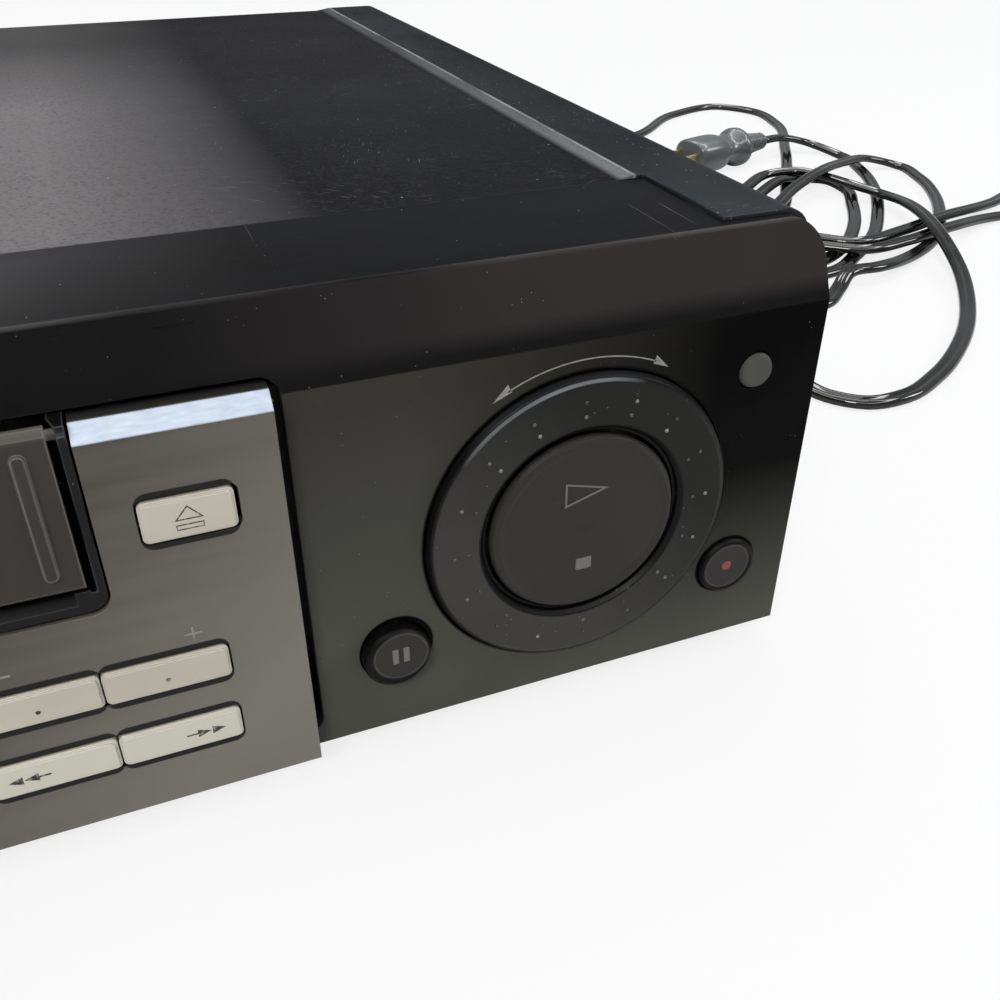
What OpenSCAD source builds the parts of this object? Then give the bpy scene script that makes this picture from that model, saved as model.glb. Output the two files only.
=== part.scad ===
// Video cassette recorder, front loading, with a jog and shuttle dial and a captive mains lead.
// Millimetres. X runs to the right seen from the front, Y to the back and Z up.
// The origin lies on the floor, under the middle of the case and its rear sockets.
// Most pieces are drawn from the front's lower edge: y = 0 on the flat lower face, z = 0 on its lower edge.

/* [Case] */
// Width of the case
case_w = 430; // [425:1:450]
// Depth from the front's flat lower face to the rear edge of the cover
case_d = 301; // [296:1:330]
// Height of the front from its lower edge to its top edge
front_h = 93; // [92:0.5:100]
// Height of the feet below the front's lower edge
foot_h = 6; // [4:0.5:12]
// Radius of each foot
foot_r = 13; // [9:0.5:16]
// Distance of a foot's centre from the case's side and ends
foot_in = 42; // [35:1:60]
// Radius of the two top corners seen from the front
corner_r = 7.5; // [5:0.5:9]
// Sheet thickness of the top cover
cover_t = 1; // [0.8:0.1:1.4]
// Radius of the cover's two top edges
cover_r = 6; // [4:0.5:8]
// Width of the raised shoulder along each side of the cover
shoulder_w = 21.8; // [20:0.2:24]
// Width of the slope from the shoulder down to the middle
slope_w = 5.2; // [2:0.2:8]
// Height of the shoulders above the front's top strip
shoulder_rise = 0.6; // [0.2:0.1:1.2]
// Depth of the cover's middle below the front's top strip
middle_drop = 0.2; // [0:0.1:0.6]
// Distance from the lower face to the front edge of the shoulders
shoulder_y = 9.5; // [9:0.5:11]
// Sheet thickness of the bottom pan and of the rear panel
pan_t = 1.2; // [0.8:0.1:1.6]
// Number of cooling slots in each side of the cover
side_slots = 12; // [4:1:14]

/* [Front] */
// Wall of the front moulding
skin = 2.5; // [2:0.1:3]
// Height of the crease where the upper band starts to lean back
band_z = 78.2; // [77:0.05:80]
// How far the upper band leans back at the top edge
band_back = 6.3; // [4:0.1:8]
// Depth from the lower face to the back edge of the front's top strip
strip_d = 40; // [34:0.5:48]
// Depth of the front moulding's end walls
lip_d = 15; // [12:0.5:18]
// Distance from the side where the top strip ends at the cover's shoulder
strip_in = 20; // [16:0.5:22]
// How far the centre panel stands in front of the lower face
panel_proud = 4; // [2:0.5:5]
// Width of the centre panel to the right of the cassette door
panel_keys_w = 33; // [31:0.5:36]
// Distance of the centre panel's left edge from the case's left side
panel_left_in = 61; // [54:0.5:62]
// Height of the centre panel's face below its top chamfer
panel_h = 77.5; // [77:0.1:78.5]
// Wall of the centre panel
panel_t = 2.2; // [1.8:0.1:2.6]
// Height of the chamfer along the centre panel's top edge
panel_cham = 2.65; // [2:0.05:3]
// Black gap at both sides of the centre panel
panel_gap = 2; // [1:0.1:3]
// Black gap over the centre panel
panel_gap_top = 1; // [0.6:0.1:1.4]
// Width of the smoked display window
display_w = 176; // [150:1:180]
// Height of the smoked display window
display_h = 28; // [20:1:30]

/* [Cassette door] */
// Distance of the cassette door's middle to the left of the case's middle
door_left = 21.5; // [17:0.5:25]
// Width of the cassette door
door_w = 192; // [190:0.5:194]
// Lower edge of the cassette door
door_z = 51.8; // [51.4:0.1:52.1]
// Height of the cassette door
door_h = 29; // [28.6:0.1:29.2]
// Thickness of the cassette door
door_t = 2.5; // [2:0.1:2.8]
// Wall of the black frame round the door
frame_wall = 2.3; // [1.8:0.1:2.6]
// Gap between the door and its frame
door_gap = 0.5; // [0.4:0.05:0.7]
// Radius of the door's hinge pins
hinge_r = 0.9; // [0.7:0.05:1]

/* [Dial and keys] */
// Distance of the dial's centre from the case's right side
dial_in = 51; // [49:0.5:53]
// Height of the dial's centre above the front's lower edge
dial_z = 40; // [38:0.5:42]
// Outer radius of the shuttle ring
ring_r = 32; // [30:0.5:33]
// How far the shuttle ring stands in front of the lower face
ring_proud = 1.9; // [1.6:0.1:4]
// Radius of the play and stop disc
rocker_r = 19.5; // [18:0.5:21]
// Outer radius of the fixed hub between disc and ring
hub_r = 20.9; // [19.4:0.1:22.4]
// Wall of the fixed hub
hub_wall = 0.65; // [0.5:0.05:0.8]
// Radius of the pause and record keys
round_key_r = 6.75; // [6:0.25:7.2]
// Radius of the small jog key
jog_key_r = 3.6; // [3:0.1:4.2]
// How far a silver key stands in front of the centre panel
key_proud = 0.8; // [0.4:0.1:1.2]
// How far a key can be pressed in
key_travel = 1; // [0.6:0.1:1.1]
// Gap round a key in its hole
key_gap = 0.3; // [0.2:0.05:0.5]

/* [Rear] */
// How far the signal sockets stand out behind the cover
jack_reach = 9.8; // [8:0.2:12]
// Outer radius of a signal socket's shell
jack_r = 4.15; // [4.1:0.05:4.2]
// Outer radius of an aerial socket's thread
aerial_r = 4.75; // [4.7:0.05:4.8]
// Spacing of the signal sockets
jack_pitch = 14; // [12.5:0.5:16]

/* [Tape deck] */
// Height of the deck plate's top
deck_z = 20; // [19:0.5:21]
// Thickness of the deck plate
deck_t = 2; // [1.5:0.1:2.5]
// Width inside the cassette holder
holder_w = 189.4; // [188.5:0.1:190]
// Depth of the cassette holder
holder_d = 103; // [100:0.5:104]
// Height inside the cassette holder
holder_h = 26; // [25.6:0.1:26.4]
// Travel of the cassette holder to the back
carry_in = 55; // [50:1:56]
// Travel of the cassette holder downwards
carry_down = 21.3; // [19.3:0.1:21.8]
// Radius of the head drum
drum_r = 31; // [30:0.1:32]
// Tilt of the head drum
drum_tilt = 5.9; // [4:0.1:7]
// Distance from the case's lower front face to the drum's middle
drum_y = 228; // [226:0.5:232]
// Half the spacing of the two reel tables
reel_x = 46; // [44:0.5:48]
// Radius of the capstan shaft
capstan_r = 1.5; // [1.2:0.1:2]
// Radius of the pinch roller
pinch_r = 6.5; // [6:0.1:7]
// Radial running clearance of every shaft in its hole
run = 0.06; // [0.02:0.01:0.09]

/* [Hidden] */
$fn = 48;

hw = case_w / 2;
front_reach = panel_proud + key_proud;
// the lower front face in the part's own frame, with the origin midway along the whole object
y_face = front_reach - (front_reach + case_d + jack_reach) / 2;
top_z = front_h;
shoulder_z = front_h + shoulder_rise;
middle_z = front_h - middle_drop;
rear_y = case_d - cover_t;
pan_top = 0.4 + pan_t;
gap = 0.3;
eps = 0.01;

// centre panel and cassette opening
slot_x = -door_left;
panel_x0 = -hw + panel_left_in;
panel_x1 = slot_x + door_w / 2 + panel_keys_w;
panel_top = panel_h + panel_cham;
door_top = door_z + door_h;
frame_half = door_w / 2 + door_gap + frame_wall;
frame_floor = door_z - door_gap - frame_wall * 1.85;
frame_top = door_top + door_gap + frame_wall;
frame_back = 14;
frame_gap = 0.4;
door_face = -panel_proud + 0.2;
hinge_y = door_face + 1.3;
hinge_z = door_top - 1.4;
display_x = slot_x - 29;
display_z = 23;

// keys
board_y = 12;
board_t = 1.6;
switch_d = 3.5;
plunger_d = 1.2;
stem_y = board_y - switch_d - plunger_d - key_travel - 0.2;
dial_x = hw - dial_in;
ring_bore = hub_r + run;
hub_back = 6;
rocker_pin_y = 4;
rocker_pin_r = 1.5;
pause_x = (panel_x1 + dial_x) / 2 - 10.95;
record_x = dial_x + 36;
round_key_z = dial_z - 20.8;
jog_x = dial_x + 36.4;
jog_z = dial_z + 25.8;
power_x = panel_x0 - 31;
power_z = 58;
eject_x = panel_x1 - 15.4;
eject_z = 62;
rocker_key_x = panel_x1 - 34.9;
channel_z = 30.9;
tracking_z = 16;
key_w = 21.2;
key_h = 7;
eject_w = 16.1;
eject_h = 8.6;
sensor_x = panel_x0 - 31;
sensor_z = 18;

// tape deck, seen from above: the cassette slides in along Y and then drops
carry_y = 31;
holder_floor = door_z + 0.5;
sheet = 1;
holder_out = holder_w / 2 + sheet;
holder_top = holder_floor + holder_h;
slide_t = 1.2;
slide_in = holder_out + gap;
slide_out = slide_in + slide_t;
rail_in = slide_out + gap;
rail_out = rail_in + 1.5;
carry_pin_r = 1.5;
carry_pin_z = holder_floor + 13;
slide_z0 = carry_pin_z - carry_down - 6;
slide_z1 = holder_top + sheet + 3.4;
deck_y0 = 34;
deck_y1 = drum_y + 40;
deck_half = rail_out + 5;
reel_y = carry_y + carry_in + 50;
reel_pin_r = 2;
capstan_x = 62;
capstan_y = drum_y - 24;
pinch_x = capstan_x + 24;
pinch_y = capstan_y + 8;
pinch_arm_l = 18;
pinch_post_r = 2;
// the arm's rest angle: 22 degrees back from where the roller meets the shaft
pinch_reach = capstan_r + pinch_r + gap;
pinch_span = sqrt(24 * 24 + 8 * 8);
pinch_meet = 180 + atan2(8, 24)
    + acos((pinch_arm_l * pinch_arm_l + pinch_span * pinch_span - pinch_reach * pinch_reach)
        / (2 * pinch_arm_l * pinch_span));
pinch_rest = pinch_meet + 22;
roller_x = pinch_x + pinch_arm_l * cos(pinch_rest);
roller_y = pinch_y + pinch_arm_l * sin(pinch_rest);
guide_x0 = 30;
guide_y0 = drum_y - 48;
guide_x1 = 38;
guide_y1 = drum_y - 6;
guide_pin_r = 2;
gear_m = 1;
cam_teeth = 54;
pinion_teeth = 18;
motor_x = -75;
motor_y = drum_y + 7;
gear_span = gear_m * (cam_teeth + pinion_teeth) / 2 + 0.25;
cam_x = motor_x + gear_span / 2;
cam_y = motor_y - gear_span * sqrt(3) / 2;
gear_z = deck_z - 12;
gear_t = 5;
cam_post_r = 3;

// boards on the pan
board_z = pan_top + 3;
main_x0 = slot_x + deck_half + 6;
main_x1 = hw - 8;
power_x0 = -hw + 8;
power_x1 = slot_x - deck_half - 6;
tuner_x = hw - 68;
jack_x = tuner_x - 62;
jack_z = 34;
screw_r = 1.6;
screw_side_z = 10;
relief_x = hw - 27;
relief_z = 18;
relief_r = 5.4;
relief_l = 24;

// the lead: a flat twin cable lying on the floor, as centre points in the part's own frame
lead_w = 6.4;
lead_t = 3.4;
lead_start = [hw - 27, y_face + rear_y + relief_l, foot_h + relief_z];
lead_route = [
    [189, 187, 20], [199, 210, 8], [224, 231, 2], [270, 245, 2], [330, 252, 2], [388, 262, 2],
    [414, 276, 2], [460, 314, 2], [500, 323, 2], [514, 302, 2], [508, 266, 2], [478, 214, 2],
    [439, 157, 2], [408, 116, 2], [376, 86, 2], [341, 66, 2], [321, 34, 2], [307, -6, 2],
    [300, -42, 2], [302, -60, 2], [311, -69, 2], [326, -70, 2], [346, -62, 2], [372, -45, 2],
    [402, -17, 2], [424, 13, 5], [436, 40, 10], [451, 75, 10], [460, 108, 6], [454, 124, 7],
    [450, 142, 7], [443, 155, 7], [430, 159, 6], [400, 143, 4], [378, 137, 2], [360, 129, 2],
    [352, 115, 2], [363, 104, 2], [380, 110, 2], [408, 136, 4], [426, 146, 6], [445, 153, 3],
    [458, 149, 2], [458, 132, 2], [444, 108, 2], [423, 80, 2], [401, 59, 2], [381, 47, 2],
    [364, 42, 2], [352, 48, 2], [354, 61, 4], [368, 63, 6], [382, 55, 6], [398, 43, 6],
    [424, 45, 6], [452, 52, 6], [502, 66, 2], [532, 63, 2], [552, 67, 2], [560, 80, 2],
    [552, 93, 2], [532, 92, 2], [510, 82, 3], [461, 66, 6], [431, 57, 6], [402, 52, 6],
    [381, 70, 6], [359, 76, 6], [343, 82, 4], [342, 93, 2], [356, 98, 2], [376, 99, 3],
    [395, 107, 6], [417, 122, 9], [440, 135, 11], [471, 153, 9], [498, 163, 6], [514, 158, 2],
    [508, 132, 2], [493, 104, 2], [472, 77, 2], [445, 51, 2], [416, 34, 3], [390, 23, 6],
    [374, 22, 6], [364, 15, 3], [350, 6, 2], [336, 9, 2], [332, 22, 2], [344, 31, 2], [362, 32, 2],
    [379, 35, 2], [398, 47, 2], [422, 65, 2], [446, 91, 2], [471, 124, 2], [489, 158, 2],
    [498, 190, 2], [490, 207, 5], [474, 210, 9]];
plug_at = [454, 205, 10.4];
plug_turn = 195.6;
lead_path = concat([lead_start], lead_route, [plug_at]);
lead_sides = 8;

module at_front() {
    translate([0, y_face, foot_h]) children();
}

// a (y, z) outline drawn out along X, centred
module along_x(w) {
    rotate([90, 0, 90]) linear_extrude(w, center = true) children();
}

// an (x, z) outline drawn from depth y0 to depth y1
module from_front(y0, y1) {
    translate([0, y1, 0]) rotate([90, 0, 0]) linear_extrude(y1 - y0) children();
}

// a block given by its two corners
module block(a, b) {
    translate(a) cube([b[0] - a[0], b[1] - a[1], b[2] - a[2]]);
}

// a pin lying along Y from depth y0 to depth y1
module y_pin(x, z, r, y0, y1) {
    translate([x, y1, z]) rotate([90, 0, 0]) cylinder(r = r, h = y1 - y0);
}

// an upright pin
module z_pin(x, y, r, z0, z1) {
    translate([x, y, z0]) cylinder(r = r, h = z1 - z0);
}

// a rectangle with round corners, centred
module round_rect(w, h, r) {
    square([w - 2 * r, h], center = true);
    square([w, h - 2 * r], center = true);
    for (x = [-1, 1])
        for (y = [-1, 1])
            translate([x * (w / 2 - r), y * (h / 2 - r)]) circle(r);
}

// the front seen from ahead, with its two round top corners, shrunk by a wall
module front_outline(inset) {
    translate([-hw + inset, inset]) square([2 * (hw - inset), front_h - corner_r - inset]);
    translate([-hw + corner_r, inset]) square([2 * (hw - corner_r), front_h - 2 * inset]);
    for (s = [-1, 1])
        translate([s * (hw - corner_r), front_h - corner_r]) circle(corner_r - inset);
}

// the front seen from the side: upright lower face, leaning band and flat top strip
module side_outline(inset, back) {
    polygon([[inset, inset], [inset, band_z - inset * 0.2], [band_back + inset * 0.8, front_h - inset],
             [back, front_h - inset], [back, inset]]);
}

// holes through the front moulding for the dial and the keys
module front_holes() {
    from_front(-eps, skin + 1) {
        translate([dial_x, dial_z]) circle(ring_r + 0.4);
        translate([pause_x, round_key_z]) circle(round_key_r + key_gap);
        translate([record_x, round_key_z]) circle(round_key_r + key_gap);
        translate([jog_x, jog_z]) circle(jog_key_r + key_gap);
        translate([power_x, power_z]) round_rect(26 + 2 * key_gap, 12 + 2 * key_gap, 1.5);
        translate([sensor_x, sensor_z]) round_rect(30, 12, 1);
    }
}

module front_bezel() {
    color([0.12, 0.12, 0.13])
    at_front() {
        front_moulding();
        // ribs under the top strip hold the centre panel and the cassette opening's frame
        for (x = [panel_x0 + 12, panel_x1 - 12])
            block([x - 3, 5, panel_top], [x + 3, 9, front_h - skin + eps]);
        for (s = [-1, 1])
            block([slot_x + s * 70 - 3, 6, frame_top], [slot_x + s * 70 + 3, 12, front_h - skin + eps]);
    }
}

module front_moulding() {
    difference() {
        intersection() {
            along_x(case_w + 2) side_outline(0, strip_d);
            from_front(-1, strip_d + 1) front_outline(0);
        }
        intersection() {
            along_x(case_w + 2) side_outline(skin, strip_d + 1);
            from_front(0, strip_d + 2) front_outline(skin);
        }
        block([-hw - 1, lip_d, -1], [hw + 1, strip_d + 1, front_h - skin]);
        for (s = [-1, 1]) {
            translate([s * (hw - strip_in / 2 + 1), 0, 0]) {
                block([-strip_in / 2 - 1, lip_d, 0], [strip_in / 2 + 1, strip_d + 1, front_h + 1]);
            }
        }
        // a rebate at each top corner takes the front edge of the cover's shoulder
        difference() {
            for (s = [-1, 1])
                translate([s * (hw - strip_in / 2 + 1), 0, 0])
                    block([-strip_in / 2 - 1, shoulder_y - 0.2, shoulder_z - cover_r - 1.2],
                          [strip_in / 2 + 1, lip_d + 1, front_h + 1]);
            from_front(shoulder_y - 1, lip_d + 2) cover_outline(cover_t + 0.1);
        }
        // the opening behind the centre panel, with round upper corners
        from_front(-1, lip_d + 4) {
            translate([(panel_x0 + panel_x1) / 2, (panel_top + panel_gap_top + skin + 1) / 2])
                round_rect(panel_x1 - panel_x0 + 2 * panel_gap, panel_top + panel_gap_top - skin - 1, 3.5);
        }
        front_holes();
    }
}

module centre_panel() {
    color([0.46, 0.43, 0.40])
    at_front()
    difference() {
        translate([(panel_x0 + panel_x1) / 2, 0, 0]) {
            along_x(panel_x1 - panel_x0)
                polygon([[-panel_proud, 0.3], [-panel_proud, panel_h], [-panel_proud + panel_cham, panel_top],
                         [7, panel_top], [7, skin + 1.4], [0, skin + 1.4], [0, 0.3]]);
        }
        translate([(panel_x0 + panel_x1) / 2, 0, 0]) {
            along_x(panel_x1 - panel_x0 - 2 * panel_t)
                polygon([[-panel_proud + panel_t, skin + 1.4 + panel_t],
                         [-panel_proud + panel_t, panel_h - 0.9],
                         [-panel_proud + panel_cham + 0.9, panel_top - panel_t],
                         [8, panel_top - panel_t], [8, skin + 1.4 + panel_t]]);
        }
        // the notch for the cassette opening, with round lower corners
        from_front(-panel_proud - 1, 8)
            translate([slot_x, (frame_floor - frame_gap + 100) / 2])
                round_rect(2 * (frame_half + frame_gap), 100 - frame_floor + frame_gap, 3.6);
        from_front(-panel_proud - 1, 0) {
            translate([display_x, display_z]) round_rect(display_w, display_h, 2);
            translate([eject_x, eject_z]) round_rect(eject_w, eject_h, 1.5);
            for (z = [channel_z, tracking_z])
                translate([rocker_key_x, z]) round_rect(2 * key_w + 2 * key_gap + 0.4, key_h + 2 * key_gap, 1.4);
        }
    }
}

module door_frame() {
    color([0.05, 0.05, 0.055])
    at_front()
    difference() {
        from_front(-panel_proud + 0.5, frame_back)
            translate([slot_x, (frame_floor + frame_top) / 2])
                round_rect(2 * frame_half, frame_top - frame_floor, 3.2);
        // the tunnel behind the door
        from_front(-panel_proud, frame_back + 1)
            translate([slot_x, (door_z + door_top) / 2])
                square([door_w + 2 * door_gap, door_h + 2 * door_gap], center = true);
        // a sloping sill leads the cassette in
        translate([slot_x, 0, 0])
            along_x(door_w - 4)
                polygon([[-panel_proud, door_z - door_gap - 3], [0, door_z - door_gap + eps],
                         [0, door_z], [-panel_proud, door_z]]);
        // bevelled cheeks at both sides of the door
        for (s = [-1, 1])
            translate([slot_x, 0, door_z - door_gap - 0.5])
                linear_extrude(door_h + 2)
                    polygon([[s * (door_w / 2 + door_gap - 0.1), 0],
                             [s * (door_w / 2 + door_gap + 1.1), -panel_proud],
                             [s * (door_w / 2 + door_gap - 0.1), -panel_proud]]);
        // the wall over the door lies behind the front moulding
        block([slot_x - frame_half - 1, -panel_proud, door_top + 0.1], [slot_x + frame_half + 1, 5.5, frame_top + 1]);
        for (s = [-1, 1])
            translate([slot_x + s * (door_w / 2 + 3), hinge_y, hinge_z])
                rotate([0, 90, 0]) cylinder(r = hinge_r + run, h = 10, center = true);
    }
}

// the door swings inwards about the two pins near its top edge
module cassette_door() {
    color([0.24, 0.22, 0.20])
    at_front()
    translate([slot_x, 0, 0]) {
        difference() {
            along_x(door_w)
                polygon([[door_face, door_z + 0.6], [door_face + 0.6, door_z], [door_face + door_t, door_z],
                         [door_face + door_t, door_top - 1.1], [door_face + 1.9, door_top],
                         [door_face + 1, door_top], [door_face, door_top - 1]]);
            // the inside is hollowed so that the door stays light
            block([-door_w / 2 + 3, door_face + 1.6, door_z + 3],
                  [door_w / 2 - 3, door_face + door_t + 1, door_top - 4]);
        }
        // upright ribs near both ends
        for (s = [-1, 1])
            translate([s * (door_w / 2 - 4.4), 0, (door_z + door_top) / 2])
                from_front(door_face - 0.7, door_face + 0.2) round_rect(2, 22.6, 0.9);
        for (s = [-1, 1])
            translate([s * (door_w / 2 + 1), hinge_y, hinge_z])
                rotate([0, 90, 0]) cylinder(r = hinge_r, h = 2.4, center = true);
    }
}

module display_window() {
    color([0.07, 0.05, 0.06, 0.8])
    at_front() {
        from_front(-panel_proud + 0.5, -panel_proud + panel_t + eps)
            translate([display_x, display_z]) round_rect(display_w - 0.4, display_h - 0.4, 1.8);
        from_front(-panel_proud + panel_t, -panel_proud + panel_t + 1)
            translate([display_x, display_z]) round_rect(display_w + 4, display_h + 4, 2);
    }
}

// the glowing display: a flat glass tube on legs, in front of the control board
module display_tube() {
    color([0.25, 0.32, 0.30])
    at_front() {
        block([display_x - 62, board_y - 7, display_z - 9], [display_x + 62, board_y - 1.5, display_z + 9]);
        for (z = [-10.2, 9])
            block([display_x - 58, board_y - 5, display_z + z], [display_x + 58, board_y, display_z + z + 1.2]);
    }
}

module sensor_window() {
    color([0.25, 0.03, 0.05, 0.8])
    at_front() {
        from_front(0.3, skin + eps) translate([sensor_x, sensor_z]) round_rect(29.7, 11.7, 0.9);
        from_front(skin, skin + 1) translate([sensor_x, sensor_z]) round_rect(34, 16, 0.9);
        // the light guide that reaches back to the receiver on the board
        from_front(skin + 1, board_y) translate([sensor_x, sensor_z]) square([8, 7], center = true);
    }
}

// the cover seen from ahead: two raised shoulders, and a slope from each down to the flat middle
module cover_outline(inset) {
    difference() {
        union() {
            translate([-hw + inset, 0]) square([2 * (hw - inset), shoulder_z - cover_r]);
            translate([-hw + cover_r, 0]) square([2 * (hw - cover_r), shoulder_z - inset]);
            for (s = [-1, 1])
                translate([s * (hw - cover_r), shoulder_z - cover_r]) circle(cover_r - inset);
        }
        polygon([[-hw + shoulder_w, shoulder_z + 1], [-hw + shoulder_w, shoulder_z - inset + eps],
                 [-hw + shoulder_w + slope_w, middle_z - inset], [hw - shoulder_w - slope_w, middle_z - inset],
                 [hw - shoulder_w, shoulder_z - inset + eps], [hw - shoulder_w, shoulder_z + 1]]);
    }
}

module side_screws(extra, y0, y1) {
    for (s = [-1, 1])
        for (y = [case_d * 0.25, case_d * 0.78])
            translate([s * hw, y, screw_side_z])
                rotate([0, s * 90, 0]) translate([0, 0, y0]) cylinder(r = screw_r + extra, h = y1 - y0);
}

module rear_screws(extra, y0, y1) {
    for (x = [-hw + 24, 0, hw - 24])
        y_pin(x, shoulder_z - 5, screw_r + extra, y0, y1);
}

module top_cover() {
    color([0.17, 0.17, 0.18])
    at_front() {
        // the front edge of each shoulder reaches over the front moulding
        intersection() {
            from_front(shoulder_y, lip_d + eps)
                difference() {
                    cover_outline(0);
                    cover_outline(cover_t);
                }
            for (s = [-1, 1])
                translate([s * (hw - strip_in / 2 + 1), 0, 0])
                    block([-strip_in / 2 - 1 + gap, 0, shoulder_z - cover_r - 1],
                          [strip_in / 2 + 1 - gap, lip_d + 1, shoulder_z + 1]);
        }
        cover_shell();
    }
}

module cover_shell() {
    difference() {
        from_front(lip_d, case_d) cover_outline(0);
        difference() {
            from_front(lip_d - 1, rear_y) cover_outline(cover_t);
            // the rear edge keeps a folded flange
        }
        block([-hw - 1, rear_y - 1, -1], [hw + 1, case_d + 1, shoulder_z - 10]);
        block([-hw - 1, 0, -1], [hw + 1, case_d + 1, 0.5]);
        block([-hw + strip_in - gap, 0, 10], [hw - strip_in + gap, strip_d + gap, front_h + 3]);
        side_screws(0.2, -10, 5);
        rear_screws(0.2, rear_y - 1, case_d + 1);
        for (s = [-1, 1])
            for (i = [0 : side_slots - 1])
                translate([s * hw, case_d - 50 - i * 7, 52])
                    cube([20, 2.6, 26], center = true);
    }
}

module chassis_pan() {
    color([0.62, 0.63, 0.62])
    at_front() {
        difference() {
            union() {
                block([-hw + cover_t + gap, lip_d, 0.4], [hw - cover_t - gap, rear_y - pan_t, pan_top]);
                for (s = [-1, 1])
                    translate([s * (hw - cover_t - gap - pan_t / 2), 0, 0])
                        block([-pan_t / 2, lip_d, 0.4], [pan_t / 2, rear_y - pan_t, 16]);
                block([-hw + cover_t + gap, lip_d, 0.4], [hw - cover_t - gap, lip_d + pan_t, 9]);
            }
            side_screws(-0.2, -10, 5);
            // cooling slots under the power supply and the main board
            for (s = [-1, 1])
                for (i = [0 : 9])
                    block([s * (hw - 45) - 20, 100 + i * 7, 0], [s * (hw - 45) + 20, 103 + i * 7, 3]);
        }
        // standoffs for the two boards
        for (x = [main_x0 + 6, main_x1 - 6, power_x0 + 6, power_x1 - 6])
            for (y = [40, case_d - 30])
                z_pin(x, y, 3, pan_top, board_z);
    }
}

module feet() {
    color([0.10, 0.10, 0.10])
    at_front()
    for (s = [-1, 1])
        for (y = [foot_in, case_d - foot_in])
            translate([s * (hw - foot_in), y, -foot_h])
                rotate_extrude()
                    polygon([[0, 0], [foot_r - 2, 0], [foot_r - 1.5, 0.5], [foot_r, foot_h * 0.75],
                             [foot_r, foot_h + 0.4], [0, foot_h + 0.4]]);
}

module rear_panel() {
    color([0.13, 0.13, 0.14])
    at_front()
    difference() {
        from_front(rear_y - pan_t, rear_y) cover_outline(cover_t + gap);
        block([-hw, rear_y - 2 * pan_t, -1], [hw, rear_y + 1, 0.4]);
        from_front(rear_y - 2 * pan_t, rear_y + 1) {
            translate([jack_x, jack_z]) square([3 * jack_pitch + 2, 2 * jack_pitch + 2], center = true);
            for (z = [-11, 11])
                translate([tuner_x, 24 + z]) circle(aerial_r + 0.25);
            translate([relief_x, relief_z]) circle(relief_r + 0.05);
            for (i = [0 : 13])
                translate([-hw + 40 + i * 8, 50]) square([3, 40], center = true);
        }
        rear_screws(-0.2, rear_y - 3, rear_y + 1);
    }
}

module cover_screws() {
    color([0.20, 0.20, 0.21])
    at_front() {
        for (s = [-1, 1])
            for (y = [case_d * 0.25, case_d * 0.78])
                translate([s * hw, y, screw_side_z])
                    rotate([0, s * 90, 0]) screw(cover_t + gap + pan_t + 1.5);
        for (x = [-hw + 24, 0, hw - 24])
            translate([x, case_d, shoulder_z - 5]) rotate([-90, 0, 0]) screw(cover_t + pan_t + 2);
    }
}

// a pan head on z = 0 with its shank below
module screw(l) {
    difference() {
        rotate_extrude()
            polygon([[0, -l], [screw_r - 0.2, -l], [screw_r - 0.2, 0], [3.4, 0], [3.2, 0.9], [2.2, 1.5], [0, 1.5]]);
        for (a = [0, 90])
            rotate([0, 0, a]) translate([0, 0, 1.5]) cube([3.4, 0.8, 1.4], center = true);
    }
}

// the moulded block that carries the six signal sockets
module signal_block() {
    color([0.08, 0.08, 0.08])
    at_front()
    difference() {
        union() {
            from_front(rear_y - 14, rear_y - pan_t)
                translate([jack_x, jack_z]) square([3 * jack_pitch, 2 * jack_pitch], center = true);
            from_front(rear_y - pan_t, rear_y + 0.4)
                translate([jack_x, jack_z]) square([3 * jack_pitch + 1.6, 2 * jack_pitch + 1.6], center = true);
            // feet stand on the main board
            block([jack_x - 18, rear_y - 14, board_z + board_t], [jack_x + 18, rear_y - 6, jack_z - jack_pitch]);
        }
        for (i = [-1 : 1])
            for (j = [-0.5, 0.5])
                y_pin(jack_x + i * jack_pitch, jack_z + j * jack_pitch, jack_r - 0.25, rear_y - 6, rear_y + 2);
    }
}

module signal_sockets() {
    color([0.75, 0.74, 0.70])
    at_front()
    for (i = [-1 : 1])
        for (j = [-0.5, 0.5])
            translate([jack_x + i * jack_pitch, 0, jack_z + j * jack_pitch])
                difference() {
                    union() {
                        y_pin(0, 0, jack_r - 0.25, rear_y - 6, rear_y + 1);
                        y_pin(0, 0, jack_r, rear_y + 0.4, case_d + jack_reach);
                    }
                    difference() {
                        y_pin(0, 0, jack_r - 0.6, rear_y + 1, case_d + jack_reach + 1);
                        y_pin(0, 0, 2.5, rear_y, case_d + jack_reach - 1.5);
                    }
                    y_pin(0, 0, 1.65, rear_y + 1, case_d + jack_reach);
                }
}

// threaded aerial sockets, each with a six-sided collar
module aerial_sockets() {
    color([0.78, 0.76, 0.70])
    at_front()
    for (z = [-11, 11])
        translate([tuner_x, 0, 24 + z])
            difference() {
                union() {
                    y_pin(0, 0, aerial_r - 0.35, rear_y - 8, rear_y + 1);
                    y_pin(0, 0, aerial_r, rear_y + 2.2, case_d + jack_reach - 0.6);
                    translate([0, rear_y + 2.2, 0]) rotate([90, 30, 0]) cylinder(r = 6.6, h = 2.1, $fn = 6);
                }
                y_pin(0, 0, 3.6, case_d + 2, case_d + jack_reach);
                y_pin(0, 0, 1, rear_y, case_d + jack_reach);
            }
}

module tuner_box() {
    color([0.70, 0.71, 0.70])
    at_front() {
        block([tuner_x - 20, rear_y - 78, board_z + board_t], [tuner_x + 20, rear_y - 8, 48]);
        for (i = [0 : 4])
            block([tuner_x - 16, rear_y - 70 + i * 13, 48], [tuner_x + 16, rear_y - 67 + i * 13, 48.6]);
    }
}

module main_board() {
    color([0.45, 0.33, 0.14])
    at_front()
    block([main_x0, 30, board_z], [main_x1, rear_y - pan_t - 2, board_z + board_t]);
}

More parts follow.
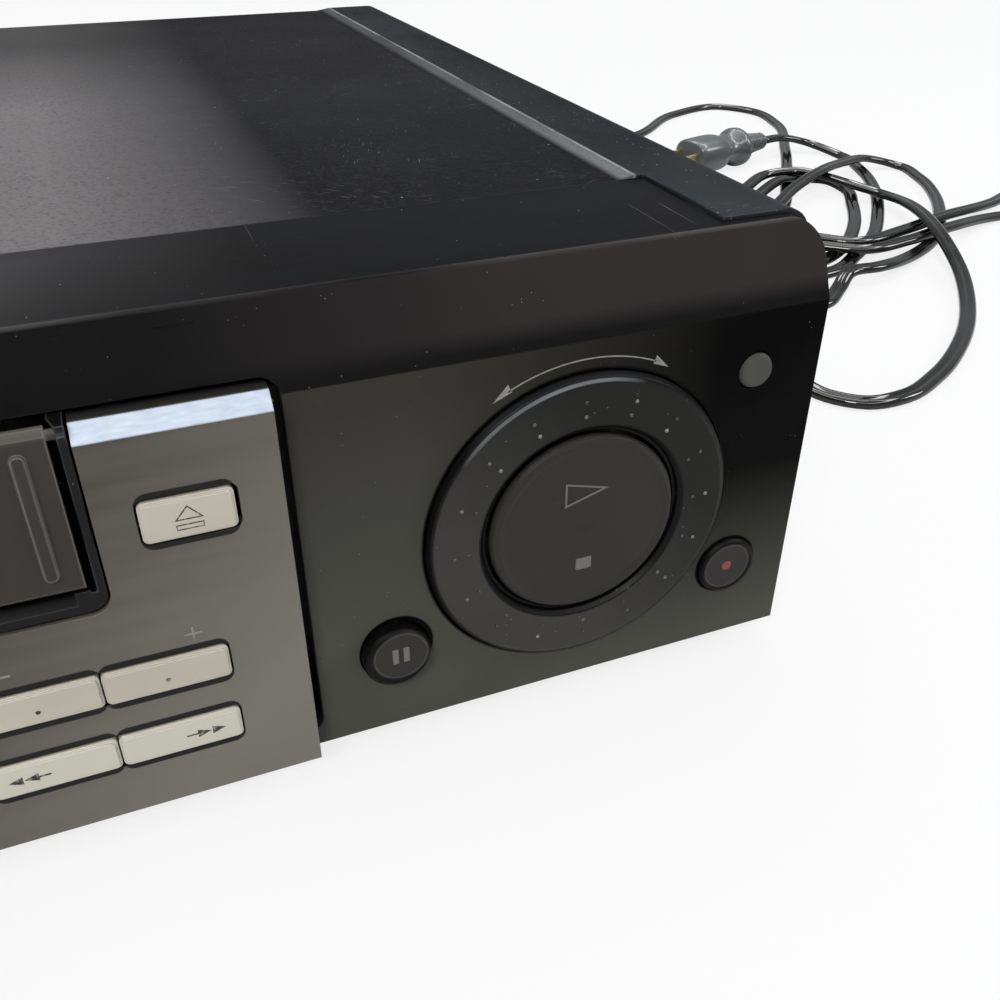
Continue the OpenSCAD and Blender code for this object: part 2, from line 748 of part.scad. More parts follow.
// tall parts on the main board: capacitors, chips under a cooling plate and connectors
module board_parts() {
    z0 = board_z + board_t;
    color([0.12, 0.13, 0.18])
    at_front() {
        for (p = [[100, 60, 5, 14], [114, 60, 5, 14], [128, 64, 4, 11], [150, 52, 6, 18], [168, 52, 6, 18],
                  [186, 150, 4, 12], [186, 164, 4, 12], [104, 150, 5, 13], [104, 165, 5, 13]])
            z_pin(p[0], p[1], p[2], z0, z0 + p[3]);
        for (p = [[112, 90, 34, 14], [156, 84, 24, 24], [124, 120, 40, 12], [160, 122, 30, 10],
                  [130, rear_y - 120, 24, 24]])
            block([p[0], p[1], z0], [p[0] + p[2], p[1] + p[3], z0 + 3.4]);
    }
}

module power_board() {
    z0 = board_z + board_t;
    color([0.62, 0.50, 0.26])
    at_front() {
        block([power_x0, 30, board_z], [power_x1, rear_y - pan_t - 2, board_z + board_t]);
        // main capacitor, its heat sink and the fuse
        z_pin(power_x0 + 20, 200, 11, z0, z0 + 32);
        for (i = [0 : 4])
            block([power_x0 + 40, 168 + i * 6, z0], [power_x1 - 8, 170 + i * 6, z0 + 26]);
        block([power_x0 + 40, 160, z0], [power_x1 - 8, 162, z0 + 32]);
        block([power_x0 + 12, 250, z0], [power_x0 + 34, 256, z0 + 7]);
    }
}

module transformer() {
    z0 = board_z + board_t;
    color([0.30, 0.28, 0.25])
    at_front() {
        block([power_x0 + 10, 92, z0], [power_x0 + 58, 132, z0 + 8]);
        block([power_x0 + 10, 92, z0 + 30], [power_x0 + 58, 132, z0 + 38]);
        for (x = [10, 51])
            block([power_x0 + x, 92, z0 + 8], [power_x0 + x + 7, 132, z0 + 30]);
        // the bobbin with its winding
        block([power_x0 + 19, 86, z0 + 8], [power_x0 + 49, 138, z0 + 30]);
    }
}

// one long board stands behind the whole front, cut away round the cassette tunnel
module control_board() {
    color([0.45, 0.33, 0.14])
    at_front()
    difference() {
        block([-hw + 8, board_y, skin], [hw - 8, board_y + board_t, 74]);
        block([slot_x - frame_half - 1, board_y - 1, frame_floor - 1],
              [slot_x + frame_half + 1, board_y + 3, 90]);
    }
}

// a six millimetre switch with its round plunger
module key_switch(x, z) {
    block([x - 3, board_y - switch_d, z - 3], [x + 3, board_y, z + 3]);
    y_pin(x, z, 1.6, board_y - switch_d - plunger_d, board_y - switch_d);
}

module key_switches() {
    color([0.20, 0.20, 0.22])
    at_front() {
        key_switch(pause_x, round_key_z);
        key_switch(record_x, round_key_z);
        key_switch(jog_x, jog_z);
        key_switch(power_x, power_z);
        key_switch(eject_x, eject_z);
        key_switch(dial_x, dial_z + 12);
        key_switch(dial_x, dial_z - 12);
        for (z = [channel_z, tracking_z])
            for (s = [-1, 1])
                key_switch(rocker_key_x + s * (key_w + key_gap) / 2, z);
    }
}

// the fixed hub: the ring turns round it and the rocker's pin lies in it
module dial_hub() {
    color([0.06, 0.06, 0.065])
    at_front()
    translate([dial_x, 0, dial_z]) {
        difference() {
            union() {
                y_pin(0, 0, hub_r, 1.5 - ring_proud, hub_back + eps);
                y_pin(0, 0, hub_r + 5, hub_back, hub_back + 1.5);
                y_pin(0, 0, hub_r + 1, hub_back + 1.5, board_y);
            }
            y_pin(0, 0, hub_r - hub_wall, -3, board_y + 1);
        }
        translate([0, rocker_pin_y, 0])
            rotate([0, 90, 0]) cylinder(r = rocker_pin_r, h = 2 * (hub_r - hub_wall / 2), center = true);
    }
}

module shuttle_ring() {
    color([0.10, 0.10, 0.105])
    at_front()
    translate([dial_x, 0, dial_z])
        rotate([90, 0, 0])
            rotate_extrude($fn = 96)
                polygon([[ring_bore, ring_proud - 0.8], [ring_bore + 0.8, ring_proud], [ring_r - 1.6, ring_proud],
                         [ring_r - 0.5, ring_proud - 0.5], [ring_r, ring_proud - 1.6], [ring_r, -skin - gap],
                         [ring_r + 1.4, -skin - gap], [ring_r + 1.4, -hub_back + gap],
                         [ring_bore, -hub_back + gap]]);
}

// the play and stop disc rocks about a pin that lies across the hub
module play_stop_rocker() {
    color([0.09, 0.09, 0.095])
    at_front()
    translate([dial_x, 0, dial_z])
        difference() {
            union() {
                rotate([90, 0, 0])
                    rotate_extrude($fn = 96)
                        polygon([[0, 0.4], [rocker_r, 0.4], [rocker_r, ring_proud - 0.7],
                                 [rocker_r - 0.4, ring_proud], [rocker_r - 1.3, ring_proud + 0.5],
                                 [rocker_r - 2.4, ring_proud + 0.1], [0, ring_proud - 0.3]]);
                for (s = [-1, 1])
                    translate([s * 10, 0, 0]) block([-2, -0.5, -3], [2, rocker_pin_y + 2.6, 3]);
                for (s = [-1, 1])
                    y_pin(0, s * 12, 1.8, -0.5, stem_y - 0.3);
            }
            translate([0, rocker_pin_y, 0])
                rotate([0, 90, 0]) cylinder(r = rocker_pin_r + run, h = 40, center = true);
        }
}

// a round key: cap, collar behind the wall and a stem that reaches its switch
module round_key(x, z, r, proud) {
    translate([x, 0, z]) {
        rotate([90, 0, 0])
            rotate_extrude()
                polygon([[0, proud - 0.3], [r - 1.4, proud - 0.1], [r - 0.9, proud], [r - 0.3, proud - 0.3],
                         [r, proud - 0.9], [r, -skin - gap], [r + 0.85, -skin - gap],
                         [r + 0.85, -skin - gap - 1], [0, -skin - gap - 1]]);
        y_pin(0, 0, 1.8, skin + gap, stem_y);
    }
}

module pause_key() {
    color([0.13, 0.13, 0.14]) at_front() round_key(pause_x, round_key_z, round_key_r, 3);
}

module record_key() {
    color([0.13, 0.13, 0.14]) at_front() round_key(record_x, round_key_z, round_key_r, 1.2);
}

module jog_key() {
    color([0.42, 0.42, 0.41]) at_front() round_key(jog_x, jog_z, jog_key_r, 0.8);
}

module power_key() {
    color([0.20, 0.20, 0.21])
    at_front()
    translate([power_x, 0, power_z]) {
        from_front(-1, skin + gap) round_rect(26, 12, 1.2);
        from_front(skin + gap, skin + gap + 1) round_rect(28, 14, 1.2);
        y_pin(0, 0, 1.8, skin + gap, stem_y);
    }
}

// a flat silver key in the centre panel: bevelled cap, collar and stem
module flat_key(x, z, w, h) {
    back = -panel_proud + panel_t + gap;
    face = -panel_proud - key_proud;
    translate([x, 0, z]) {
        from_front(face + 0.5, back) round_rect(w, h, 1.1);
        from_front(face, face + 0.5) round_rect(w - 0.9, h - 0.9, 0.8);
        from_front(back, back + 1) round_rect(w, h + 2.4, 1.1);
        y_pin(0, 0, 1.8, back, stem_y);
    }
}

module eject_key() {
    color([0.78, 0.76, 0.71])
    at_front() flat_key(eject_x - 0.2, eject_z, eject_w - 1.1, eject_h - 1);
}

module channel_up_key() {
    color([0.78, 0.76, 0.71])
    at_front() flat_key(rocker_key_x + (key_w + key_gap) / 2, channel_z, key_w, key_h);
}

module channel_down_key() {
    color([0.78, 0.76, 0.71])
    at_front() flat_key(rocker_key_x - (key_w + key_gap) / 2, channel_z, key_w, key_h);
}

module tracking_up_key() {
    color([0.78, 0.76, 0.71])
    at_front() flat_key(rocker_key_x + (key_w + key_gap) / 2, tracking_z, key_w, key_h);
}

module tracking_down_key() {
    color([0.78, 0.76, 0.71])
    at_front() flat_key(rocker_key_x - (key_w + key_gap) / 2, tracking_z, key_w, key_h);
}

// the slot that a tape guide slides along, from beside the reels to beside the drum
module guide_slot(s, r) {
    for (p = [[guide_x0, guide_y0], [guide_x1, guide_y1]])
        z_pin(s * p[0], p[1], r, deck_z - 10, deck_z + 1);
    l = sqrt((guide_x1 - guide_x0) * (guide_x1 - guide_x0) + (guide_y1 - guide_y0) * (guide_y1 - guide_y0));
    translate([s * guide_x0, guide_y0, deck_z - 10])
        rotate([0, 0, atan2(guide_y1 - guide_y0, s * (guide_x1 - guide_x0))])
            translate([0, -r + 0.03, 0]) cube([l, 2 * r - 0.06, 11]);
}

module deck_plate() {
    color([0.66, 0.67, 0.66])
    at_front()
    translate([slot_x, 0, 0])
    difference() {
        union() {
            block([-deck_half, deck_y0, deck_z - deck_t], [deck_half, deck_y1, deck_z]);
            // legs down to the pan
            for (s = [-1, 1])
                for (y = [deck_y0 + 6, deck_y1 - 6])
                    z_pin(s * (deck_half - 6), y, 4, pan_top, deck_z - deck_t);
            // reel posts and the pinch arm's post
            for (s = [-1, 1])
                z_pin(s * reel_x, reel_y, reel_pin_r, deck_z, deck_z + 16);
            z_pin(pinch_x, pinch_y, pinch_post_r, deck_z, deck_z + 13);
            z_pin(pinch_x, pinch_y, pinch_post_r + 2, deck_z, deck_z + 5.7);
            // the capstan's bearing boss and the cam gear's post
            z_pin(capstan_x, capstan_y, 4, deck_z - deck_t, deck_z + 9);
            z_pin(cam_x, cam_y, cam_post_r, gear_z - 1.5, deck_z - deck_t);
            z_pin(cam_x, cam_y, cam_post_r + 2.5, gear_z + gear_t + gap, deck_z - deck_t);
        }
        z_pin(capstan_x, capstan_y, capstan_r + run, 0, deck_z + 20);
        for (s = [-1, 1])
            guide_slot(s, guide_pin_r + 0.2);
        z_pin(motor_x, motor_y, 4, 0, deck_z + 5);
        // two pressed openings lighten the plate in front of the reels
        for (s = [-1, 1])
            block([s * 50 - 26, 52, 0], [s * 50 + 26, 92, deck_z + 1]);
    }
}

// two fixed side brackets whose ledges carry the slider
module carriage_frame() {
    color([0.60, 0.61, 0.60])
    at_front()
    translate([slot_x, 0, 0])
    for (s = [-1, 1])
        mirror([s < 0 ? 1 : 0, 0, 0]) {
            difference() {
                block([rail_in, carry_y - 1, deck_z], [rail_out, carry_y + holder_d + carry_in + 6, slide_z1 + 2]);
                // the window in which the holder's pins travel
                block([rail_in - 1, carry_y + 12, carry_pin_z - carry_down - 4],
                      [rail_out + 1, carry_y + holder_d + carry_in - 8, carry_pin_z + 4]);
                // cleared in front of the deck's edge
                block([rail_in - 1, 0, deck_z - 1], [rail_out + 1, deck_y0, carry_pin_z - carry_down - 8]);
            }
            block([slide_in, carry_y - 1, slide_z0 - gap - 1.2],
                  [rail_in, carry_y + holder_d + carry_in + 6, slide_z0 - gap]);
            block([rail_out, deck_y0 + 4, deck_z], [rail_out + 4, deck_y0 + 150, deck_z + 1.2]);
        }
}

// the slider runs to the back on the brackets; its upright slots let the holder drop
module carriage_slider() {
    color([0.72, 0.73, 0.72])
    at_front()
    translate([slot_x, 0, 0]) {
        for (s = [-1, 1])
            mirror([s < 0 ? 1 : 0, 0, 0])
                difference() {
                    block([slide_in, carry_y + 6, slide_z0], [slide_out, carry_y + holder_d - 3, slide_z1]);
                    for (y = [18, holder_d - 18]) {
                        block([slide_in - 1, carry_y + y - carry_pin_r - run, carry_pin_z - carry_down],
                              [slide_out + 1, carry_y + y + carry_pin_r + run, carry_pin_z]);
                        for (z = [carry_pin_z - carry_down, carry_pin_z])
                            translate([slide_in - 1, carry_y + y, z])
                                rotate([0, 90, 0]) cylinder(r = carry_pin_r + run, h = slide_t + 2);
                    }
                    // lightening hole between the slots
                    block([slide_in - 1, carry_y + 30, slide_z0 + 8],
                          [slide_out + 1, carry_y + holder_d - 30, slide_z1 - 8]);
                }
        block([-slide_out, carry_y + holder_d - 22, slide_z1 - 1.2], [slide_out, carry_y + holder_d - 3, slide_z1]);
    }
}

// the tray that takes the cassette: open in front and, between its two ledges, below
module cassette_holder() {
    color([0.78, 0.79, 0.78])
    at_front()
    translate([slot_x, 0, 0]) {
        for (s = [-1, 1])
            mirror([s < 0 ? 1 : 0, 0, 0]) {
                block([holder_w / 2, carry_y, holder_floor - sheet], [holder_out, carry_y + holder_d, holder_top + sheet]);
                block([holder_w / 2 - 12, carry_y, holder_floor - sheet], [holder_w / 2, carry_y + holder_d, holder_floor]);
                // a stop at the back
                block([70, carry_y + holder_d - sheet, holder_top - 14], [82, carry_y + holder_d, holder_top]);
                for (y = [18, holder_d - 18])
                    translate([holder_out, carry_y + y, carry_pin_z])
                        rotate([0, 90, 0]) cylinder(r = carry_pin_r, h = gap + slide_t);
            }
        difference() {
            block([-holder_w / 2, carry_y, holder_top], [holder_w / 2, carry_y + holder_d, holder_top + sheet]);
            block([-60, carry_y + 28, holder_top - 1], [60, carry_y + holder_d - 22, holder_top + 3]);
            // a wide notch in the front edge
            block([-30, carry_y - 1, holder_top - 1], [30, carry_y + 10, holder_top + 3]);
        }
    }
}

module drum_frame() {
    translate([slot_x, drum_y, deck_z]) rotate([drum_tilt, 0, 0]) children();
}

// the fixed lower half of the head drum, with its tilted seat and shaft
module lower_drum() {
    color([0.74, 0.75, 0.76])
    at_front()
    difference() {
        union() {
            drum_frame() {
                translate([0, 0, -3]) cylinder(r = drum_r - 3, h = 9);
                translate([0, 0, 6]) cylinder(r = drum_r, h = 12, $fn = 96);
                translate([0, 0, 18]) cylinder(r = 3, h = 12.4);
            }
            for (s = [-1, 1])
                translate([slot_x, drum_y, deck_z]) block([s * 20 - 5, 14, 0], [s * 20 + 5, 34, 4]);
        }
        block([slot_x - 60, drum_y - 60, 0], [slot_x + 60, drum_y + 60, deck_z]);
    }
}

// the spinning upper half, with its two head windows and the top plate
module upper_drum() {
    color([0.80, 0.81, 0.82])
    at_front()
    drum_frame()
    difference() {
        union() {
            translate([0, 0, 18 + gap]) cylinder(r = drum_r, h = 12, $fn = 96);
            translate([0, 0, 30 + gap]) cylinder(r = 13, h = 3);
            for (a = [0 : 60 : 300])
                rotate([0, 0, a]) translate([21, 0, 30 + gap]) cylinder(r = 1.6, h = 1.2);
        }
        translate([0, 0, 10]) cylinder(r = 3 + run, h = 21);
        for (a = [0, 180])
            rotate([0, 0, a]) translate([drum_r, 0, 18]) cube([6, 5, 5], center = true);
    }
}

// a reel table: friction disc, collar and three driving splines
module reel_table() {
    difference() {
        union() {
            z_pin(0, 0, 14, deck_z + gap, deck_z + 3);
            z_pin(0, 0, 11, deck_z + 3, deck_z + 8);
            z_pin(0, 0, 5, deck_z + 8, deck_z + 18);
            z_pin(0, 0, 3.6, deck_z + 18, deck_z + 21);
            for (a = [0 : 120 : 240])
                rotate([0, 0, a]) block([3, -0.8, deck_z + 8], [8, 0.8, deck_z + 16]);
        }
        z_pin(0, 0, reel_pin_r + run, deck_z - 1, deck_z + 17);
    }
}

module supply_reel() {
    color([0.90, 0.90, 0.88]) at_front() translate([slot_x - reel_x, reel_y, 0]) reel_table();
}

module takeup_reel() {
    color([0.90, 0.90, 0.88]) at_front() translate([slot_x + reel_x, reel_y, 0]) reel_table();
}

module capstan() {
    color([0.70, 0.70, 0.72])
    at_front()
    translate([slot_x + capstan_x, capstan_y, 0]) {
        z_pin(0, 0, capstan_r, deck_z - 11, deck_z + 34);
        difference() {
            z_pin(0, 0, 24, deck_z - 13, deck_z - 7);
            rotate_extrude() translate([15, deck_z - 13]) square([5, 2]);
        }
        z_pin(0, 0, 4, deck_z - 7, deck_z - deck_t - gap);
    }
}

module pinch_arm() {
    color([0.62, 0.63, 0.62])
    at_front()
    translate([slot_x + pinch_x, pinch_y, 0])
        rotate([0, 0, pinch_rest])
            difference() {
                union() {
                    z_pin(0, 0, 4.5, deck_z + 6, deck_z + 10);
                    z_pin(pinch_arm_l, 0, 3.4, deck_z + 6, deck_z + 9);
                    block([0, -3, deck_z + 6], [pinch_arm_l, 3, deck_z + 9]);
                    z_pin(pinch_arm_l, 0, 1.5, deck_z + 9, deck_z + 27);
                }
                z_pin(0, 0, pinch_post_r + run, deck_z, deck_z + 20);
            }
}

module pinch_roller() {
    color([0.10, 0.10, 0.10])
    at_front()
    translate([slot_x + roller_x, roller_y, 0])
        difference() {
            z_pin(0, 0, pinch_r, deck_z + 9 + gap, deck_z + 26);
            z_pin(0, 0, 1.5 + run, deck_z, deck_z + 30);
        }
}

// fixed tape guides with their flanges, and the sound head on its plate
module tape_guides() {
    color([0.82, 0.82, 0.83])
    at_front()
    translate([slot_x, 0, 0]) {
        for (p = [[-62, drum_y - 28], [-48, drum_y - 34], [46, drum_y - 30]]) {
            z_pin(p[0], p[1], 1.6, deck_z, deck_z + 30);
            z_pin(p[0], p[1], 3.4, deck_z, deck_z + 9);
            z_pin(p[0], p[1], 3.4, deck_z + 26, deck_z + 28);
        }
        block([45, drum_y + 2, deck_z], [57, drum_y + 14, deck_z + 4]);
        block([48, drum_y + 4, deck_z + 4], [55, drum_y + 12, deck_z + 26]);
    }
}

// a moving tape guide: foot, upright post with two flanges, and the pin in the slot
module guide_carriage(s) {
    translate([slot_x + s * guide_x0, guide_y0, 0]) {
        z_pin(0, 0, 5.5, deck_z + gap, deck_z + 4);
        z_pin(0, 0, guide_pin_r, deck_z - 4, deck_z + gap);
        z_pin(0, 0, 1.5, deck_z + 4, deck_z + 27);
        z_pin(0, 0, 3, deck_z + 9, deck_z + 24);
        z_pin(0, 0, 4, deck_z + 7.5, deck_z + 9);
        z_pin(0, 0, 4, deck_z + 24, deck_z + 25.5);
    }
}

module guide_left() {
    color([0.86, 0.86, 0.87]) at_front() guide_carriage(-1);
}

module guide_right() {
    color([0.86, 0.86, 0.87]) at_front() guide_carriage(1);
}

module loading_motor() {
    color([0.58, 0.58, 0.57])
    at_front()
    translate([slot_x + motor_x, motor_y, 0])
        difference() {
            union() {
                z_pin(0, 0, 11, deck_z, deck_z + 24);
                z_pin(0, 0, 4, deck_z + 24, deck_z + 26);
            }
            z_pin(0, 0, 1 + run, deck_z - 1, deck_z + 12);
        }
}

// a spur gear's outline with straight-sided teeth, slightly thinned so that it runs free
module gear_outline(n, turn) {
    pitch = gear_m * n / 2;
    root = pitch - 1.1 * gear_m;
    tip = pitch + 0.75 * gear_m;
    step = 360 / n;
    function polar(r, a) = [r * cos(a), r * sin(a)];
    polygon([for (i = [0 : n - 1])
        each [polar(root, turn + i * step - step * 0.33), polar(tip, turn + i * step - step * 0.115),
              polar(tip, turn + i * step + step * 0.115), polar(root, turn + i * step + step * 0.33)]]);
}

module motor_pinion() {
    color([0.88, 0.86, 0.78])
    at_front()
    translate([slot_x + motor_x, motor_y, 0]) {
        translate([0, 0, gear_z]) linear_extrude(gear_t) gear_outline(pinion_teeth, -60);
        z_pin(0, 0, 1, gear_z + gear_t, deck_z + 11);
        z_pin(0, 0, 3, gear_z + gear_t, deck_z - gap);
    }
}

module cam_gear() {
    color([0.88, 0.86, 0.78])
    at_front()
    translate([slot_x + cam_x, cam_y, 0])
        difference() {
            translate([0, 0, gear_z]) linear_extrude(gear_t) gear_outline(cam_teeth, 120 + 180 / cam_teeth);
            z_pin(0, 0, cam_post_r + run, 0, deck_z);
            // the spiral-like cam track is two joined round grooves
            translate([0, 0, gear_z - 1])
                rotate_extrude() translate([13, 0]) square([3.4, 3]);
            for (a = [20, 140, 260])
                rotate([0, 0, a]) z_pin(19.5, 0, 2.2, 0, deck_z);
        }
}

// the tapered rubber sleeve where the lead leaves the rear panel
module strain_relief() {
    color([0.09, 0.09, 0.09])
    at_front()
    translate([relief_x, rear_y - pan_t - 3, relief_z])
        rotate([-90, 0, 0])
            rotate_extrude()
                polygon([[0, 0], [relief_r + 1.4, 0], [relief_r + 1.4, 3], [relief_r, 3], [relief_r, 3 + pan_t],
                         [relief_r + 1.4, 3 + pan_t], [relief_r + 1.4, 6 + pan_t], [5.2, 7 + pan_t],
                         [5.2, 9 + pan_t], [4.2, 9.6 + pan_t], [4.2, 11 + pan_t], [4.9, 11.6 + pan_t],
                         [4.9, 13.6 + pan_t], [4, 14.2 + pan_t], [4, 15.6 + pan_t], [4.6, 16.2 + pan_t],
                         [4.5, 18.2 + pan_t], [3.8, 18.8 + pan_t], [3.7, 3 + pan_t + relief_l],
                         [0, 3 + pan_t + relief_l]]);
}

// the eight points of the lead's flat section, as sideways and upward shares
function lead_section(i) = let (a = 22.5 + i * 45) [lead_w / 2 * cos(a) / cos(22.5), lead_t / 2 * sin(a) / cos(22.5)];

// the direction of the path at point i, level with the floor for the section's width
function lead_dir(i) = let (
    a = lead_path[max(i - 1, 0)],
    b = lead_path[min(i + 1, len(lead_path) - 1)],
    d = b - a) d / norm(d);

function lead_ring(i) = let (
    t = lead_dir(i),
    side = [t[1], -t[0], 0] / norm([t[1], -t[0], 0]),
    up = cross(side, t)) [for (k = [0 : lead_sides - 1])
        let (s = lead_section(k)) lead_path[i] + side * s[0] + up * s[1]];

module mains_lead() {
    n = len(lead_path);
    color([0.23, 0.24, 0.23])
    polyhedron(
        points = [for (i = [0 : n - 1]) each lead_ring(i)],
        faces = concat(
            [[for (k = [0 : lead_sides - 1]) k]],
            [for (i = [0 : n - 2]) for (k = [0 : lead_sides - 1]) let (a = i * lead_sides,
                k2 = (k + 1) % lead_sides) each [[a + k, a + lead_sides + k, a + k2],
                [a + k2, a + lead_sides + k, a + lead_sides + k2]]],
            [[for (k = [lead_sides - 1 : -1 : 0]) (n - 1) * lead_sides + k]]));
}

// the plug lies on the floor: ribbed neck, finger collar, waist and body
module mains_plug() {
    color([0.16, 0.17, 0.17])
    translate(plug_at)
        rotate([0, 0, plug_turn])
            difference() {
                union() {
                    rotate([0, 90, 0])
                        rotate_extrude()
                            polygon([[0, 0], [4.6, 0], [5, 2], [4.3, 2.4], [4.5, 4], [5.3, 4.4], [5.5, 6.4],
                                     [4.8, 6.8], [5, 8.4], [5.8, 8.8], [6, 10.8], [5.4, 11.2], [5.5, 12.8],
                                     [6.3, 13.2], [6.5, 15.2], [5.9, 15.6], [6, 17], [0, 17]]);
                    translate([17, 0, 0]) plug_body();
                }
                for (s = [-1, 1])
                    translate([50, s * 6.35 - 0.75, -3.1]) cube([20, 1.5, 6.2]);
            }
}

module plug_body() {
    hull() {
        translate([-1, 0, 0]) rotate([0, 90, 0]) cylinder(r = 5.2, h = 1, $fn = 24);
        translate([6, 0, 0]) scale([0.36, 1.15, 1]) sphere(r = 10.4, $fn = 24);
    }
    translate([15, 0, 0]) rotate([0, 90, 0]) scale([1, 1.3, 1]) cylinder(r = 7.4, h = 14, center = true, $fn = 32);
    hull() {
        translate([22, 0, 0]) scale([0.5, 1.2, 1]) sphere(r = 8.6, $fn = 24);
        translate([39, 0, 0]) rotate([0, 90, 0]) scale([1, 1.25, 1]) cylinder(r = 8.8, h = 4, $fn = 32);
    }
}

module plug_blades() {
    color([0.80, 0.74, 0.55])
    translate(plug_at)
        rotate([0, 0, plug_turn])
            for (s = [-1, 1])
                translate([50, s * 6.35 - 0.75, -3.1])
                    difference() {
                        cube([28, 1.5, 6.2]);
                        translate([24.4, -1, 3.1]) rotate([-90, 0, 0]) cylinder(r = 1.6, h = 4);
                    }
}

front_bezel();
centre_panel();
door_frame();
cassette_door();
display_window();
display_tube();
sensor_window();
top_cover();
chassis_pan();
feet();
rear_panel();
cover_screws();
signal_block();
signal_sockets();
aerial_sockets();
tuner_box();
main_board();
board_parts();
power_board();
transformer();
control_board();
key_switches();
dial_hub();
shuttle_ring();
play_stop_rocker();
pause_key();
record_key();
jog_key();
power_key();
eject_key();
channel_up_key();
channel_down_key();
tracking_up_key();
tracking_down_key();
deck_plate();
carriage_frame();
carriage_slider();
cassette_holder();
lower_drum();
upper_drum();
supply_reel();
takeup_reel();
capstan();
pinch_arm();
pinch_roller();
tape_guides();
guide_left();
guide_right();
loading_motor();
motor_pinion();
cam_gear();
strain_relief();
mains_lead();
mains_plug();
plug_blades();
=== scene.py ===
import bmesh
import bpy
import math
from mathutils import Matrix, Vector


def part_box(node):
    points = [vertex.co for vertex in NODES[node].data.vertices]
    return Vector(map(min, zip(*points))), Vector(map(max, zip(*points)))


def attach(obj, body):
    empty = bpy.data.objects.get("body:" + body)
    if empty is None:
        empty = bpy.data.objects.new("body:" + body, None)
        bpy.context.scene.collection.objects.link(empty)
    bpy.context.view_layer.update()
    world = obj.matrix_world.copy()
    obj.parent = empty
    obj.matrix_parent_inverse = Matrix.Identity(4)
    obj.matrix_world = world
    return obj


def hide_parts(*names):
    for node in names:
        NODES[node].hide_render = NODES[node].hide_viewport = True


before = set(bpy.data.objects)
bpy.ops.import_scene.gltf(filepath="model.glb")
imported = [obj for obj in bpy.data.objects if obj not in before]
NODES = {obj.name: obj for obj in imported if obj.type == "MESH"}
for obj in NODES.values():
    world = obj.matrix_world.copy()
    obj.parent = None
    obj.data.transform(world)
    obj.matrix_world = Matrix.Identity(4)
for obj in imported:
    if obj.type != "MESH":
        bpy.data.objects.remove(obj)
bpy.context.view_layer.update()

# The front's own frame, in millimetres: y = 0 on the flat lower face, z = 0 on its lower edge.
FACE_Y, FOOT = -153.0, 6.0
# Places on the front as (x, z), and the depths y of its faces, in that frame.
DIAL, PAUSE, RECORD, JOG = (164.0, 40.0), (125.3, 19.9), (199.7, 19.5), (199.6, 61.8)
SLOT_X = -21.5
CASE_FACE, RING_FACE, PLAY_FACE, STOP_FACE = 0.0, -1.9, -1.83, -1.79
PAUSE_FACE, RECORD_FACE, PANEL_FACE, KEY_FACE = -2.76, -0.93, -4.0, -4.8
# In metres: the heights at which the upper band and the top strip begin, the half width at which
# the cover's shoulders begin, and the shuttle ring's inner and outer edges.
BAND_FOOT, STRIP_FOOT, SHOULDER = 0.0840, 0.0984, 0.1930
RING_INNER, RING_OUTER = 0.0222, 0.0308
SILVER_KEYS = ["eject_key", "channel_up_key", "channel_down_key", "tracking_up_key",
               "tracking_down_key"]


def at(x, y, z):
    """A point of the front's own frame as a vector in metres."""
    return Vector((x / 1000, (y + FACE_Y) / 1000, (z + FOOT) / 1000))


def put(name, data):
    """A new object in the scene."""
    ob = bpy.data.objects.new(name, data)
    bpy.context.scene.collection.objects.link(ob)
    return ob


def aim(ob, direction):
    """Turns a camera or a lamp to look along a direction, upright."""
    ob.rotation_mode = "QUATERNION"
    ob.rotation_quaternion = direction.to_track_quat("-Z", "Y")


# ---------------------------------------------------------------- camera
YAW, PITCH = math.radians(21.92), math.radians(33.27)
cam_data = bpy.data.cameras.new("camera")
cam_data.sensor_width = 36.0
cam_data.lens = 36.53
cam_data.clip_start = 0.01
cam = put("camera", cam_data)
cam.location = (0.08798, -0.29962, 0.15857)
aim(cam, Vector((math.sin(YAW) * math.cos(PITCH), math.cos(YAW) * math.cos(PITCH),
                 -math.sin(PITCH))))
bpy.context.scene.camera = cam


# ---------------------------------------------------------------- material tools
def lin(r, g, b):
    """An sRGB colour, 0 to 255, as linear RGBA."""
    return tuple(c / 255 / 12.92 if c <= 10.3 else ((c / 255 + 0.055) / 1.055) ** 2.4
                 for c in (r, g, b)) + (1.0,)


def add_node(tree, kind, ins=None, **props):
    """A new node. Each input in ins is linked if it is given a socket, and otherwise set."""
    node = tree.nodes.new(kind)
    for name, value in props.items():
        setattr(node, name, value)
    for key, value in (ins or {}).items():
        if isinstance(value, bpy.types.NodeSocket):
            tree.links.new(value, node.inputs[key])
        else:
            node.inputs[key].default_value = value
    return node


